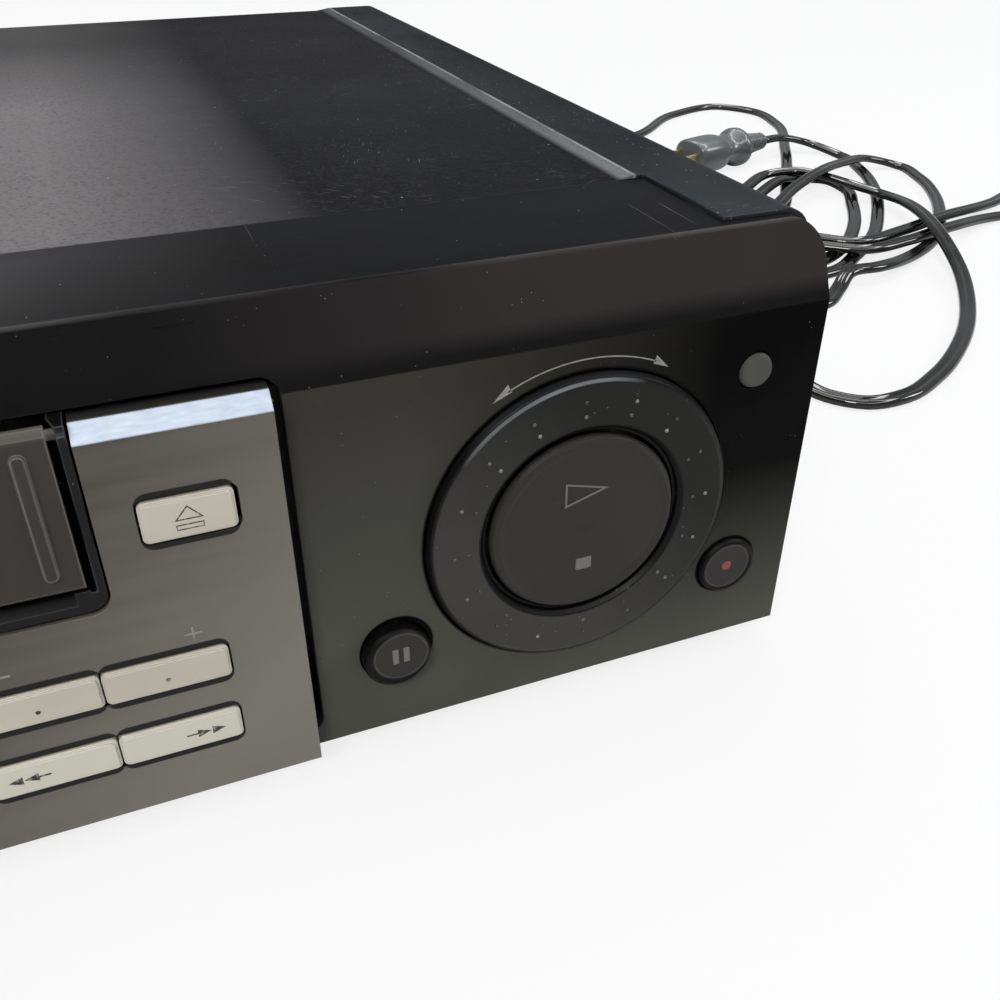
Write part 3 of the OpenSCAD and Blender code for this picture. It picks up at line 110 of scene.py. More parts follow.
class Mat:
    """A principled material: layers of colour, roughness and bump on a base, in object space.

    A mask is a number or a socket that runs from 0 to 1.
    """

    def __init__(self, name, rgb, rough=0.5, metal=0.0, spec=0.5, coat=0.0, coat_rough=0.1):
        self.material = bpy.data.materials.new(name)
        self.material.use_nodes = True
        self.tree = self.material.node_tree
        self.shader = self.tree.nodes["Principled BSDF"]
        for socket, value in (("Base Color", lin(*rgb)), ("Roughness", rough), ("Metallic", metal),
                              ("Specular IOR Level", spec), ("Coat Weight", coat),
                              ("Coat Roughness", coat_rough)):
            self.shader.inputs[socket].default_value = value
        # plain values at first, and sockets as soon as there are layers
        self.colour, self.rough = lin(*rgb), rough
        self.height = self.bevel = None
        self.obj = self.node("ShaderNodeTexCoord").outputs["Object"]

    def node(self, kind, ins=None, **props):
        return add_node(self.tree, kind, ins, **props)

    def math(self, op, a, b=0.0):
        """A calculation with one or two numbers or sockets."""
        return self.node("ShaderNodeMath", {0: a, 1: b}, operation=op).outputs[0]

    def times(self, *masks):
        """The product of masks or numbers."""
        out = masks[0]
        for mask in masks[1:]:
            out = self.math("MULTIPLY", out, mask)
        return out

    def remap(self, v, lo, hi, least=0.0, most=1.0):
        """Least where v is lo, most where it is hi, even between them and held beyond them."""
        return self.node("ShaderNodeMapRange", {0: v, 1: lo, 2: hi, 3: least, 4: most}).outputs[0]

    def place(self):
        """x, y and z in the row frame, in metres."""
        return self.node("ShaderNodeSeparateXYZ", {0: self.obj}).outputs

    def away(self, spot):
        """How far a point of the front is from a spot on it, in metres."""
        x, _, z = self.place()
        flat = self.node("ShaderNodeCombineXYZ", {0: x, 2: z}).outputs[0]
        centre = (spot[0] / 1000, 0, (spot[1] + FOOT) / 1000)
        return self.node("ShaderNodeVectorMath", {0: flat, 1: centre},
                         operation="DISTANCE").outputs["Value"]

    def stretched(self, stretch):
        """The object's coordinates, scaled if stretch is given."""
        if stretch is None:
            return self.obj
        return self.node("ShaderNodeMapping", {"Vector": self.obj, "Scale": stretch}).outputs[0]

    def noise(self, scale, detail, stretch=None, rough=0.5):
        ins = {"Vector": self.stretched(stretch), "Scale": scale, "Detail": detail,
               "Roughness": rough}
        return self.node("ShaderNodeTexNoise", ins).outputs["Fac"]

    def cloud(self, scale, detail, lo, hi, least=0.0, most=1.0, **more):
        """Noise, remapped."""
        return self.remap(self.noise(scale, detail, **more), lo, hi, least, most)

    def cells(self, scale, feature="F1", stretch=None, out="Distance"):
        ins = {"Vector": self.stretched(stretch), "Scale": scale}
        return self.node("ShaderNodeTexVoronoi", ins, feature=feature).outputs[out]

    def speckle(self, scale, size, gate):
        """Small dots, such as dust, where a broader noise passes the gate."""
        dots = self.remap(self.cells(scale), size, size * 0.6)
        return self.times(dots, self.cloud(scale * 0.31, 2, gate, gate + 0.05))

    def scratches(self, angle, length, lo, hi, gate, flat=True):
        """Short straight scratches. Flat ones lie on level surfaces, the others on the front."""
        width = 0.0003
        turn = (0, 0, angle) if flat else (0, angle, 0)
        size = (length, width, 1) if flat else (length, 1, width)
        vec = self.node("ShaderNodeMapping", {"Vector": self.obj, "Scale": size, "Rotation": turn},
                        vector_type="TEXTURE").outputs[0]
        line = self.node("ShaderNodeTexNoise", {"Vector": vec, "Scale": 1.0, "Detail": 0.0})
        return self.times(self.remap(line.outputs["Fac"], lo, hi),
                         self.cloud(33.0 + angle * 9, 2, gate, gate + 0.08))

    def rounded(self, radius):
        """Softens the edges in the shading alone."""
        self.bevel = self.node("ShaderNodeBevel", {"Radius": radius}, samples=6).outputs[0]
        return self

    def edges(self, lo, hi):
        """1 near sharp edges, 0 on flats."""
        true = self.node("ShaderNodeNewGeometry").outputs["Normal"]
        dot = self.node("ShaderNodeVectorMath", {0: self.bevel, 1: true}, operation="DOT_PRODUCT")
        return self.remap(dot.outputs["Value"], 1 - lo, 1 - hi)

    def worn_edges(self, scale, lo=0.45, hi=0.62, sharp=(0.03, 0.3)):
        """1 in patches along sharp edges."""
        return self.times(self.edges(*sharp), self.cloud(scale, 4, lo, hi))

    def tint(self, mask, rgb, share=1.0):
        """Mixes rgb into the colour so far, by the mask times a share."""
        mask = mask if share == 1.0 else self.times(mask, share)
        self.colour = self.node("ShaderNodeMix", {0: mask, 6: self.colour, 7: lin(*rgb)},
                                data_type="RGBA").outputs[2]

    def shine(self, mask, rough, share=1.0):
        """Mixes a roughness into the one so far, by the mask times a share."""
        mask = mask if share == 1.0 else self.times(mask, share)
        self.rough = self.node("ShaderNodeMix", {0: mask, 2: self.rough, 3: rough},
                               data_type="FLOAT").outputs[0]

    def raised(self, mask, millimetres):
        """Adds to the bump."""
        part = self.times(mask, millimetres)
        self.height = part if self.height is None else self.math("ADD", self.height, part)

    def done(self):
        """Links the layers to the shader and gives the material."""
        normal = self.bevel
        if self.height is not None:
            ins = {"Height": self.height, "Distance": 0.001, "Strength": 1.0}
            if self.bevel is not None:
                ins["Normal"] = self.bevel
            normal = self.node("ShaderNodeBump", ins).outputs[0]
        for socket, value in (("Base Color", self.colour), ("Roughness", self.rough),
                              ("Normal", normal)):
            if isinstance(value, bpy.types.NodeSocket):
                self.tree.links.new(value, self.shader.inputs[socket])
        return self.material


def plastic(name, rgb, rough, bump=0.02, vary=0.10, wear=None, bevel=0.0003, dust=0.25, **more):
    """A moulded plastic or rubber with uneven gloss, dust and, if wear is a colour, worn edges."""
    k = Mat(name, rgb, rough, **more).rounded(bevel)
    k.tint(k.cloud(22.0, 5, 0.35, 0.7), [min(255, c * (1 + vary) + 4) for c in rgb])
    k.tint(k.speckle(420.0, 0.07, 0.58), (170, 168, 160), dust)
    if wear:
        k.tint(k.worn_edges(70.0, sharp=(0.02, 0.25)), wear, 0.55)
    k.shine(k.cloud(48.0, 5, 0.35, 0.75), min(1.0, rough + 0.12))
    k.raised(k.noise(1700.0, 2), bump)
    return k


def metal(name, rgb, rough, spangle=0.0, brush=None, stain=0.3, metallic=1.0):
    """A sheet or turned metal. Spangle is the scale of zinc crystals, brush their stretch."""
    k = Mat(name, rgb, rough, metal=metallic).rounded(0.0002)
    dark = [c * 0.72 for c in rgb]
    k.tint(k.cloud(30.0, 6, 0.42, 0.72), dark, stain)
    if spangle:
        tone = k.node("ShaderNodeSeparateXYZ", {0: k.cells(spangle, out="Color")}).outputs
        k.tint(k.remap(tone[0], 0.2, 0.9), dark, 0.35)
        k.shine(tone[1], rough + 0.18)
    if brush:
        line = k.noise(160.0, 3, stretch=brush)
        k.raised(line, 0.05)
        k.shine(k.remap(line, 0.3, 0.7), rough + 0.15)
    k.shine(k.cloud(75.0, 4, 0.5, 0.7), min(1.0, rough + 0.25), 0.5)
    k.raised(k.noise(900.0, 2), 0.008)
    return k


# ---------------------------------------------------------------- materials of the front and cover
def bezel_material():
    k = Mat("bezel_black", (80, 80, 74), 0.46, spec=0.03).rounded(0.0004)
    x, y, z = k.place()
    # lower face: dark greenish grey, with painted shade that deepens it at the top and most of all
    # at the right
    k.tint(k.remap(z, 0.030, 0.080), (56, 55, 51))
    k.tint(k.times(k.remap(x, 0.130, 0.192), k.remap(z, 0.008, 0.050)), (3, 3, 3))
    k.tint(k.cloud(18.0, 5, 0.35, 0.75), (44, 43, 40), 0.2)
    # upper band: black and duller, with a painted brown sheen in its upper part towards the right
    band = k.remap(z, BAND_FOOT, BAND_FOOT + 0.0003)
    painted_band_sheen = k.times(k.remap(x, 0.09, 0.15), k.remap(z, 0.0855, 0.0890))
    k.tint(band, (20, 20, 21))
    k.tint(k.times(band, painted_band_sheen, k.cloud(22.0, 4, 0.2, 0.7, 0.7, 1.0)), (50, 46, 46))
    k.shine(band, 0.8, 0.8)
    # top strip: blue black and glossier, with a painted sheen towards the left, and streaked along
    # its length
    strip = k.remap(z, STRIP_FOOT, STRIP_FOOT + 0.0004)
    streak = k.noise(60.0, 4, stretch=(0.12, 1.0, 1.0))
    painted_sheen = k.times(strip, k.remap(x, 0.11, -0.02), k.remap(y, -0.148, -0.120, 0.35, 1.0))
    k.tint(strip, (4, 4, 5))
    k.tint(painted_sheen, (86, 83, 85))
    k.tint(k.times(strip, k.remap(streak, 0.45, 0.8)), (22, 23, 26), 0.6)
    k.shine(k.cloud(40.0, 5, 0.35, 0.75), 0.54)
    k.shine(strip, 0.30, 0.85)
    k.shine(k.times(strip, k.remap(streak, 0.5, 0.8)), 0.5, 0.8)
    # painted shade in the gaps round the dial and the round keys
    for spot, reach, soft in ((DIAL, 0.0330, 0.0005), (PAUSE, 0.0076, 0.0003),
                              (RECORD, 0.0074, 0.0003), (JOG, 0.0041, 0.0003)):
        k.tint(k.remap(k.away(spot), reach, reach - soft), (6, 6, 6))
    # dust and short scratches; the worn front edge of the strip and the other worn edges also carry
    # a painted highlight
    k.tint(k.speckle(640.0, 0.08, 0.56), (138, 137, 134), 0.6)
    k.tint(k.scratches(0.9, 0.0035, 0.76, 0.80, 0.60, flat=False), (118, 116, 112), 0.5)
    k.tint(k.times(strip, k.speckle(260.0, 0.05, 0.5)), (150, 152, 154), 0.8)
    rim_wear_and_highlight = k.times(k.remap(z, 0.0983, 0.0988), k.remap(y, -0.1461, -0.1465))
    k.tint(k.times(rim_wear_and_highlight, k.cloud(90.0, 3, 0.35, 0.65, 0.1, 0.6, stretch=(0.2, 1, 1))), (96, 94, 92))
    k.tint(k.times(k.worn_edges(90.0, 0.42, 0.66), k.remap(z, 0.0975, 0.0955, 0.1, 0.5)),
           (104, 101, 96))
    k.raised(k.noise(1900.0, 2), 0.014)
    return k.done()


def cover_material():
    k = Mat("cover_paint", (20, 20, 22), 0.5, spec=0.02).rounded(0.0006)
    x, y, z = k.place()
    wide = k.math("ABSOLUTE", x)
    # worn black paint, with a painted sheen on its left half and a painted dark reflection towards
    # the back
    k.tint(k.cloud(9.0, 6, 0.34, 0.72, rough=0.6), (17, 17, 19))
    k.tint(k.cloud(35.0, 5, 0.5, 0.75), (30, 30, 32), 0.6)
    painted_sheen = k.times(k.remap(x, 0.128, 0.080), k.remap(x, -0.16, 0.06, 0.35, 1.0))
    k.tint(k.times(painted_sheen, k.cloud(7.0, 4, 0.2, 0.7, 0.75, 1.0)), (116, 113, 114))
    k.tint(k.remap(y, 0.0, 0.10, 0.0, 0.7), (10, 8, 9))
    # shoulders, paler towards the front
    shoulder = k.remap(wide, SHOULDER, SHOULDER + 0.0006)
    k.tint(k.times(shoulder, k.cloud(70.0, 5, 0.35, 0.65, stretch=(1, 0.3, 1))), (34, 37, 40))
    k.tint(k.times(shoulder, k.remap(y, -0.09, -0.14, 0.0, 0.6)), (56, 59, 62))
    # the slopes beside the middle are scuffed pale, most of all along their upper edge, which also
    # carries a painted highlight
    slope = k.times(k.remap(wide, 0.1890, 0.1906), k.remap(wide, 0.1938, 0.1931))
    worn = k.times(slope, k.remap(z, 0.0984, 0.0987), k.remap(y, 0.05, -0.10, 0.45, 1.0))
    k.tint(k.times(worn, k.cloud(170.0, 5, 0.15, 0.65, 0.4, 1.0, stretch=(1, 0.12, 1))),
           (112, 114, 116))
    rim_wear_and_highlight = k.times(k.remap(wide, 0.1927, 0.1931), k.remap(wide, 0.1937, 0.1933),
                 k.remap(z, 0.0984, 0.0989))
    k.tint(k.times(rim_wear_and_highlight, k.cloud(120.0, 4, 0.35, 0.55, stretch=(1, 0.3, 1))), (150, 150, 150))
    # dust gathers in fine specks and lint, with short scratches among it
    k.tint(k.cloud(1100.0, 3, 0.5, 0.72), (46, 48, 51), 0.45)
    k.tint(k.speckle(620.0, 0.09, 0.53), (144, 144, 146), 0.75)
    k.tint(k.times(k.speckle(430.0, 0.10, 0.47), k.remap(wide, 0.190, 0.196, 0.0, 0.8)),
           (150, 152, 153))
    k.tint(k.speckle(210.0, 0.055, 0.54), (172, 170, 168), 0.85)
    for angle, share in ((0.45, 0.5), (-0.8, 0.5), (1.3, 0.45), (-0.2, 0.45)):
        k.tint(k.scratches(angle, 0.005, 0.75, 0.80, 0.57), (118, 118, 121), share)
    k.tint(k.worn_edges(60.0), (112, 111, 110), 0.6)
    k.shine(k.cloud(14.0, 5, 0.35, 0.7), 0.60)
    k.raised(k.noise(1500.0, 3), 0.05)
    k.raised(k.noise(420.0, 3), 0.03)
    return k.done()


def panel_material():
    k = Mat("panel_taupe", (72, 67, 62), 0.42, metal=0.15, spec=0.3).rounded(0.0003)
    x, y, z = k.place()
    # brushed along its length, with painted light that makes it paler towards the lower right
    brush = k.noise(260.0, 4, stretch=(0.06, 1.0, 1.0))
    k.tint(k.remap(k.math("SUBTRACT", x, k.times(z, 0.9)), 0.010, 0.075), (122, 119, 112))
    k.tint(k.remap(brush, 0.3, 0.75), (124, 118, 110), 0.25)
    k.tint(k.cloud(14.0, 5, 0.4, 0.75), (88, 83, 76), 0.25)
    # the chamfer along the top is bright with a painted pale blue reflection, with a dark line
    # above it
    chamfer = k.times(k.remap(z, 0.0834, 0.0837), k.remap(y, -0.1541, -0.1544))
    k.tint(chamfer, (172, 184, 200))
    k.tint(k.times(chamfer, k.cloud(1500.0, 3, 0.3, 0.75, stretch=(0.25, 1, 1))), (192, 202, 214))
    k.tint(k.times(k.remap(z, 0.0855, 0.0860), k.remap(y, -0.1541, -0.1536)), (30, 29, 28))
    # painted shade in the gaps, with round corners, about the silver keys
    corner = 0.0018
    for name in SILVER_KEYS:
        lo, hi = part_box(name)
        past = []
        for axis, v in ((0, x), (2, z)):
            off = k.math("ABSOLUTE", k.math("SUBTRACT", v, (lo[axis] + hi[axis]) / 2))
            flat = (hi[axis] - lo[axis]) / 2 - corner
            past.append(k.math("MAXIMUM", k.math("SUBTRACT", off, flat), 0.0))
        far = k.math("SQRT", k.math("ADD", k.times(past[0], past[0]), k.times(past[1], past[1])))
        k.tint(k.remap(far, corner + 0.00042, corner + 0.00028), (14, 13, 12))
    k.shine(chamfer, 0.34)
    k.shine(k.remap(brush, 0.3, 0.8), 0.52)
    k.tint(k.worn_edges(80.0), (150, 143, 132), 0.4)
    k.tint(k.speckle(500.0, 0.06, 0.6), (60, 56, 50), 0.35)
    k.raised(brush, 0.02)
    k.raised(k.noise(1500.0, 2), 0.012)
    return k.done()


def door_material():
    k = plastic("door_brown", (47, 43, 39), 0.36, bump=0.008, wear=(124, 117, 108), bevel=0.0006,
                spec=0.2, coat=0.1, coat_rough=0.2)
    z = k.place()[2]
    # painted highlight: the top chamfer is lighter
    k.tint(k.remap(z, 0.0850, 0.0866), (84, 79, 73), 0.6)
    # painted highlight along the sharp edges, uneven along their length
    k.tint(k.times(k.edges(0.01, 0.12), k.cloud(40.0, 3, 0.25, 0.55, 0.35, 0.8)), (132, 126, 118))
    return k.done()


def dial_material():
    k = plastic("dial_black", (52, 51, 48), 0.36, bump=0.010, bevel=0.0004, spec=0.15)
    x, _, z = k.place()
    # painted shade: darker towards the upper right, and in the gaps outside and inside the ring
    k.tint(k.remap(k.math("ADD", x, z), 0.185, 0.235), (24, 24, 22))
    d = k.away(DIAL)
    k.tint(k.remap(d, RING_OUTER, RING_OUTER + 0.0004), (7, 7, 8))
    k.tint(k.remap(d, RING_INNER, RING_INNER - 0.0003), (9, 9, 10))
    # the ring's outer ridge catches the light at the top, a little left of the middle
    upwards = k.math("SUBTRACT", k.times(z, 0.9613), k.times(x, 0.2756))
    high = k.remap(upwards, 0.0236, 0.0278)
    ridge = k.times(k.remap(d, 0.0305, 0.0307), k.remap(d, 0.0313, 0.0311))
    k.tint(k.times(ridge, high, k.cloud(60.0, 3, 0.3, 0.6, 0.5, 1.0)), (122, 125, 129))
    k.tint(k.speckle(520.0, 0.10, 0.5), (126, 124, 118), 0.6)
    return k.done()


def pip_material():
    k = plastic("pip_painted_glint", (44, 44, 42), 0.3, bump=0.010, bevel=0.0001, spec=0.4)
    # pale patches on the pips are painted glints
    k.tint(k.cloud(240.0, 2, 0.45, 0.70), (140, 140, 136))
    return k.done()


def black_key_material():
    k = plastic("key_black", (44, 43, 40), 0.42, bump=0.012, spec=0.12)
    for spot in (PAUSE, RECORD):
        away = k.away(spot)
        # painted shade in a dished ring, with a painted highlight along its pale inner edge
        k.tint(k.times(k.remap(away, 0.0053, 0.0058), k.remap(away, 0.0090, 0.0088)), (7, 7, 7))
        k.tint(k.times(k.remap(away, 0.0051, 0.0053), k.remap(away, 0.0055, 0.0053)), (74, 73, 70))
    return k.done()


def silver_key_material():
    k = plastic("key_silver", (184, 177, 163), 0.34, bump=0.006, vary=0.05, bevel=0.0004,
                metal=0.2, coat=0.1)
    # painted light: the lower keys are paler
    k.tint(k.remap(k.place()[2], 0.031, 0.024), (204, 201, 187))
    # painted highlight along the keys' edges
    k.tint(k.edges(0.02, 0.2), (226, 222, 212), 0.6)
    k.tint(k.speckle(700.0, 0.08, 0.56), (110, 98, 84), 0.5)
    return k.done()


def smoked_material():
    k = Mat("smoked_window", (20, 17, 18), 0.08, spec=0.6, coat=0.5)
    k.tint(k.cloud(30.0, 3, 0.4, 0.7), (26, 20, 22))
    k.tint(k.scratches(0.5, 0.02, 0.71, 0.76, 0.5, flat=False), (90, 90, 92), 0.3)
    k.shine(k.cloud(60.0, 4, 0.45, 0.75), 0.2)
    k.shader.inputs["Alpha"].default_value = 0.86
    return k.done()


def tube_material():
    k = Mat("display_glass", (38, 50, 47), 0.12, spec=0.6)
    k.tint(k.remap(k.cells(1300.0), 0.25, 0.1), (24, 34, 32))
    return k.done()


def red_window_material():
    k = Mat("red_window", (44, 6, 12), 0.1, spec=0.6, coat=0.4)
    k.tint(k.cloud(60.0, 3, 0.4, 0.7), (62, 10, 16))
    return k.done()


def print_material(name, rgb, rough, worn=None, fade=None, **more):
    """Printing, and the colour that it has worn to where a cloud (scale, lo, hi, share) is."""
    k = plastic(name, rgb, rough, dust=0.0, **more)
    if worn:
        scale, lo, hi, share = fade
        k.tint(k.cloud(scale, 3, lo, hi), worn, share)
    return k.done()


# ---------------------------------------------------------------- materials of the hidden parts
def drum_material():
    k = metal("turned_aluminium", (208, 210, 212), 0.22, stain=0.15)
    k.raised(k.noise(1500.0, 2, stretch=(0.02, 0.02, 1.0)), 0.05)
    return k.done()


def painted_sheet_material():
    k = metal("dark_paint_sheet", (34, 34, 36), 0.5, stain=0.4, metallic=0.0)
    k.raised(k.noise(1600.0, 2), 0.03)
    return k.done()


def core_material():
    """The transformer's iron sheets, which show as fine lines, with some rust."""
    k = Mat("laminated_core", (84, 80, 74), 0.45, metal=0.8)
    sheets = k.math("SINE", k.times(k.place()[1], 6000.0))
    k.tint(k.remap(sheets, 0.2, 0.9), (48, 45, 42))
    k.tint(k.cloud(60.0, 4, 0.5, 0.7), (110, 84, 60), 0.5)
    return k.done()


def motor_material():
    k = Mat("motor_can", (150, 150, 148), 0.3, metal=1.0)
    k.tint(k.cloud(60.0, 4, 0.4, 0.7), (110, 110, 108), 0.4)
    k.raised(k.noise(700.0, 2, stretch=(0.1, 0.1, 1.0)), 0.02)
    return k.done()


def board_material(name, rgb, copper, scale):
    """A circuit board with a net of tracks and small solder points."""
    k = Mat(name, rgb, 0.42, spec=0.5, coat=0.2)
    edge = k.cells(scale, feature="DISTANCE_TO_EDGE", stretch=(1.0, 0.35, 1.0))
    track = k.remap(edge, 0.10, 0.04)
    k.tint(track, copper)
    k.tint(k.remap(k.cells(scale * 3.4), 0.16, 0.10), (188, 186, 178))
    k.tint(k.cloud(25.0, 4, 0.4, 0.7), [c * 0.8 for c in rgb], 0.3)
    k.raised(track, 0.03)
    return k.done()


def sheath_material(name, rgb, tone):
    """A core of the lead: near black and dull, under a clear gloss."""
    k = Mat(name, rgb, 0.6, spec=0.02, coat=1.0, coat_rough=0.05)
    k.tint(k.cloud(38.0, 4, 0.35, 0.7), tone)
    k.tint(k.speckle(700.0, 0.10, 0.56), (110, 110, 100), 0.35)
    k.shine(k.cloud(130.0, 4, 0.4, 0.7), 0.65)
    k.raised(k.noise(1400.0, 2), 0.006)
    return k.done()


mats = {
    "bezel": bezel_material(), "cover": cover_material(), "panel": panel_material(),
    "door": door_material(), "dial": dial_material(), "pip": pip_material(),
    "key_black": black_key_material(), "silver": silver_key_material(),
    "smoke": smoked_material(), "tube": tube_material(), "red": red_window_material(),
    "drum": drum_material(), "sheet_black": painted_sheet_material(), "core": core_material(),
    "motor": motor_material(),
    # its worn edges are pale blue grey and also carry a painted highlight
    "gloss": plastic("frame_gloss", (9, 9, 10), 0.2, bump=0.004, wear=(120, 122, 126),
                     bevel=0.0005, spec=0.2).done(),
    "rocker": plastic("rocker_black", (42, 41, 38), 0.44, bump=0.012, wear=(88, 87, 82),
                      spec=0.15).done(),
    "hub": plastic("hub_black", (14, 14, 15), 0.4, bump=0.006, spec=0.1).done(),
    "jog": plastic("jog_grey", (66, 66, 62), 0.5, bump=0.015, wear=(110, 109, 104),
                   spec=0.2).done(),
    "rubber": plastic("rubber", (24, 24, 24), 0.8, bump=0.05, wear=(60, 60, 60), dust=0.5).done(),
    "ivory": plastic("ivory_plastic", (224, 218, 196), 0.42, bump=0.01, vary=0.03,
                     wear=(190, 180, 150), dust=0.1).done(),
    "chips": plastic("chip_black", (30, 31, 36), 0.5, wear=(70, 70, 72)).done(),
    "switch": plastic("key_switch", (44, 44, 48), 0.5, wear=(90, 90, 92)).done(),
    "plug": plastic("plug_rubber", (62, 67, 69), 0.32, wear=(110, 112, 112), dust=0.6,
                    coat=0.5, coat_rough=0.15).done(),
    "zinc": metal("zinc_sheet", (176, 178, 176), 0.36, spangle=130.0).done(),
    "steel": metal("bright_steel", (200, 200, 198), 0.24, brush=(0.05, 1.0, 1.0)).done(),
    "nickel": metal("nickel", (205, 200, 188), 0.2, stain=0.4).done(),
    "brass": metal("plated_brass", (206, 188, 140), 0.28, brush=(1.0, 0.2, 1.0)).done(),
    "board": board_material("circuit_board", (142, 104, 52), (104, 96, 40), 110.0),
    "board_dark": board_material("circuit_board_dark", (34, 31, 26), (46, 42, 34), 110.0),
    "board_green": board_material("circuit_board_green", (46, 84, 50), (30, 62, 38), 120.0),
    "print": print_material("print_grey", (138, 137, 132), 0.6, worn=(92, 91, 87),
                            fade=(900.0, 0.5, 0.7, 0.5), spec=0.1),
    "print_dark": print_material("print_dark", (34, 31, 28), 0.6, worn=(150, 143, 132),
                                 fade=(1400.0, 0.48, 0.62, 0.75)),
    "print_red": print_material("print_red", (118, 50, 48), 0.55),
    "print_dim": print_material("print_dim", (94, 93, 88), 0.6),
    "segment": print_material("segment_pale", (96, 118, 112), 0.5, bump=0.0),
    "lead": sheath_material("lead_sheath", (3, 3, 4), (7, 8, 8)),
    # the second core's warm olive tone is a painted reflection
    "lead_warm_reflection": sheath_material("lead_warm_reflection_sheath", (9, 9, 7), (28, 27, 20)),
}
for name, rgb in (("yellow", (206, 168, 34)), ("white", (214, 212, 204)), ("red", (158, 30, 30))):
    mats["insert_" + name] = plastic("insert_" + name, rgb, 0.4, bump=0.01, vary=0.04).done()

paint = {
    "bezel": ["front_bezel"], "cover": ["top_cover"], "panel": ["centre_panel"],
    "gloss": ["door_frame"], "door": ["cassette_door"], "dial": ["shuttle_ring"],
    "rocker": ["play_stop_rocker"], "hub": ["dial_hub", "signal_block"],
    "key_black": ["pause_key", "record_key", "power_key"], "jog": ["jog_key"],
    "silver": SILVER_KEYS, "smoke": ["display_window"], "tube": ["display_tube"],
    "red": ["sensor_window"],
    "zinc": ["chassis_pan", "tuner_box", "deck_plate", "carriage_frame", "carriage_slider"],
    "steel": ["cassette_holder", "capstan", "pinch_arm"],
    "nickel": ["signal_sockets", "aerial_sockets", "tape_guides", "guide_left", "guide_right"],
    "sheet_black": ["rear_panel", "cover_screws"],
    "rubber": ["feet", "pinch_roller", "strain_relief"],
    "board": ["main_board"], "board_dark": ["control_board"], "board_green": ["power_board"],
    "chips": ["board_parts"], "switch": ["key_switches"], "core": ["transformer"],
    "drum": ["lower_drum", "upper_drum"],
    "ivory": ["supply_reel", "takeup_reel", "motor_pinion", "cam_gear"],
    "motor": ["loading_motor"], "brass": ["plug_blades"], "lead": ["mains_lead"],
    "plug": ["mains_plug"],
}
for key, names in paint.items():
    for name in names:
        mesh = NODES[name].data
        mesh.materials.clear()
        mesh.materials.append(mats[key])


# ---------------------------------------------------------------- mesh tools
def make(name, verts, faces, mat, body, smooth=False):
    """A piece of its own mesh, in metres, that rides on a body."""
    mesh = bpy.data.meshes.new(name)
    mesh.from_pydata([tuple(v) for v in verts], [], faces)
    bm = bmesh.new()
    bm.from_mesh(mesh)
    bmesh.ops.recalc_face_normals(bm, faces=bm.faces)
    bm.to_mesh(mesh)
    bm.free()
    for poly in mesh.polygons:
        poly.use_smooth = smooth
    mesh.materials.append(mats[mat])
    ob = put(name, mesh)
    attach(ob, body)
    return ob


def skin(rings, sides):
    """Quads between a row of rings with as many points each, and a face at either end."""
    faces = []
    for i in range(rings - 1):
        for j in range(sides):
            k = (j + 1) % sides
            faces.append((i * sides + j, i * sides + k, (i + 1) * sides + k, (i + 1) * sides + j))
    faces.append(tuple(range(sides)))
    faces.append(tuple((rings - 1) * sides + j for j in range(sides)))
    return faces


def slabs(name, outlines, y0, y1, mat, body):
    """Slabs from y0 to y1 in the front's frame.

    Each outline is a list of (x, z), and a pair of outlines is an outer and an inner edge.
    """
    verts, faces = [], []
    for outline in outlines:
        loops = outline if isinstance(outline, tuple) else (outline,)
        base, n = len(verts), len(loops[0])
        for y in (y0, y1):
            for loop in loops:
                verts += [at(x, y, z) for x, z in loop]
        if len(loops) == 1:
            faces.append(tuple(range(base, base + n)))
            faces.append(tuple(range(base + 2 * n - 1, base + n - 1, -1)))
        for i in range(n):
            j = (i + 1) % n
            if len(loops) == 1:
                faces.append((base + i, base + n + i, base + n + j, base + j))
            else:
                o0, i0, o1, i1 = base, base + n, base + 2 * n, base + 3 * n
                faces += [(o0 + i, o0 + j, i0 + j, i0 + i), (o1 + i, i1 + i, i1 + j, o1 + j),
                          (o0 + i, o1 + i, o1 + j, o0 + j), (i0 + i, i0 + j, i1 + j, i1 + i)]
    return make(name, verts, faces, mat, body)


def plates(name, outlines, face, mat, body, thick=0.06):
    """Thin plates that stand on a face by their thickness and are sunk 0.15 mm into it."""
    return slabs(name, outlines, face - thick, face + 0.15, mat, body)


def frame_of(loop, width):
    """An outline and the same one moved inwards by the width."""
    area = sum(a[0] * b[1] - b[0] * a[1] for a, b in zip(loop, loop[1:] + loop[:1]))
    turn = 1 if area > 0 else -1
    inner = []
    for i, corner in enumerate(loop):
        before, here, after = Vector(loop[i - 1]), Vector(corner), Vector(loop[(i + 1) % len(loop)])
        e, f = (here - before).normalized(), (after - here).normalized()
        inwards = Vector((-e.y - f.y, e.x + f.x)) * turn
        inwards.normalize()
        inner.append(tuple(here + inwards * width
                           / max(0.3, inwards.dot(Vector((-e.y, e.x)) * turn))))
    return loop, inner


def box_loop(cx, cz, w, h):
    return [(cx - w / 2, cz - h / 2), (cx + w / 2, cz - h / 2), (cx + w / 2, cz + h / 2),
            (cx - w / 2, cz + h / 2)]


def on_circle(centre, radius, angle):
    """The point of a circle at an angle in radians."""
    return centre[0] + radius * math.cos(angle), centre[1] + radius * math.sin(angle)


def disc_loop(centre, radius, n=20):
    return [on_circle(centre, radius, 2 * math.pi * i / n) for i in range(n)]


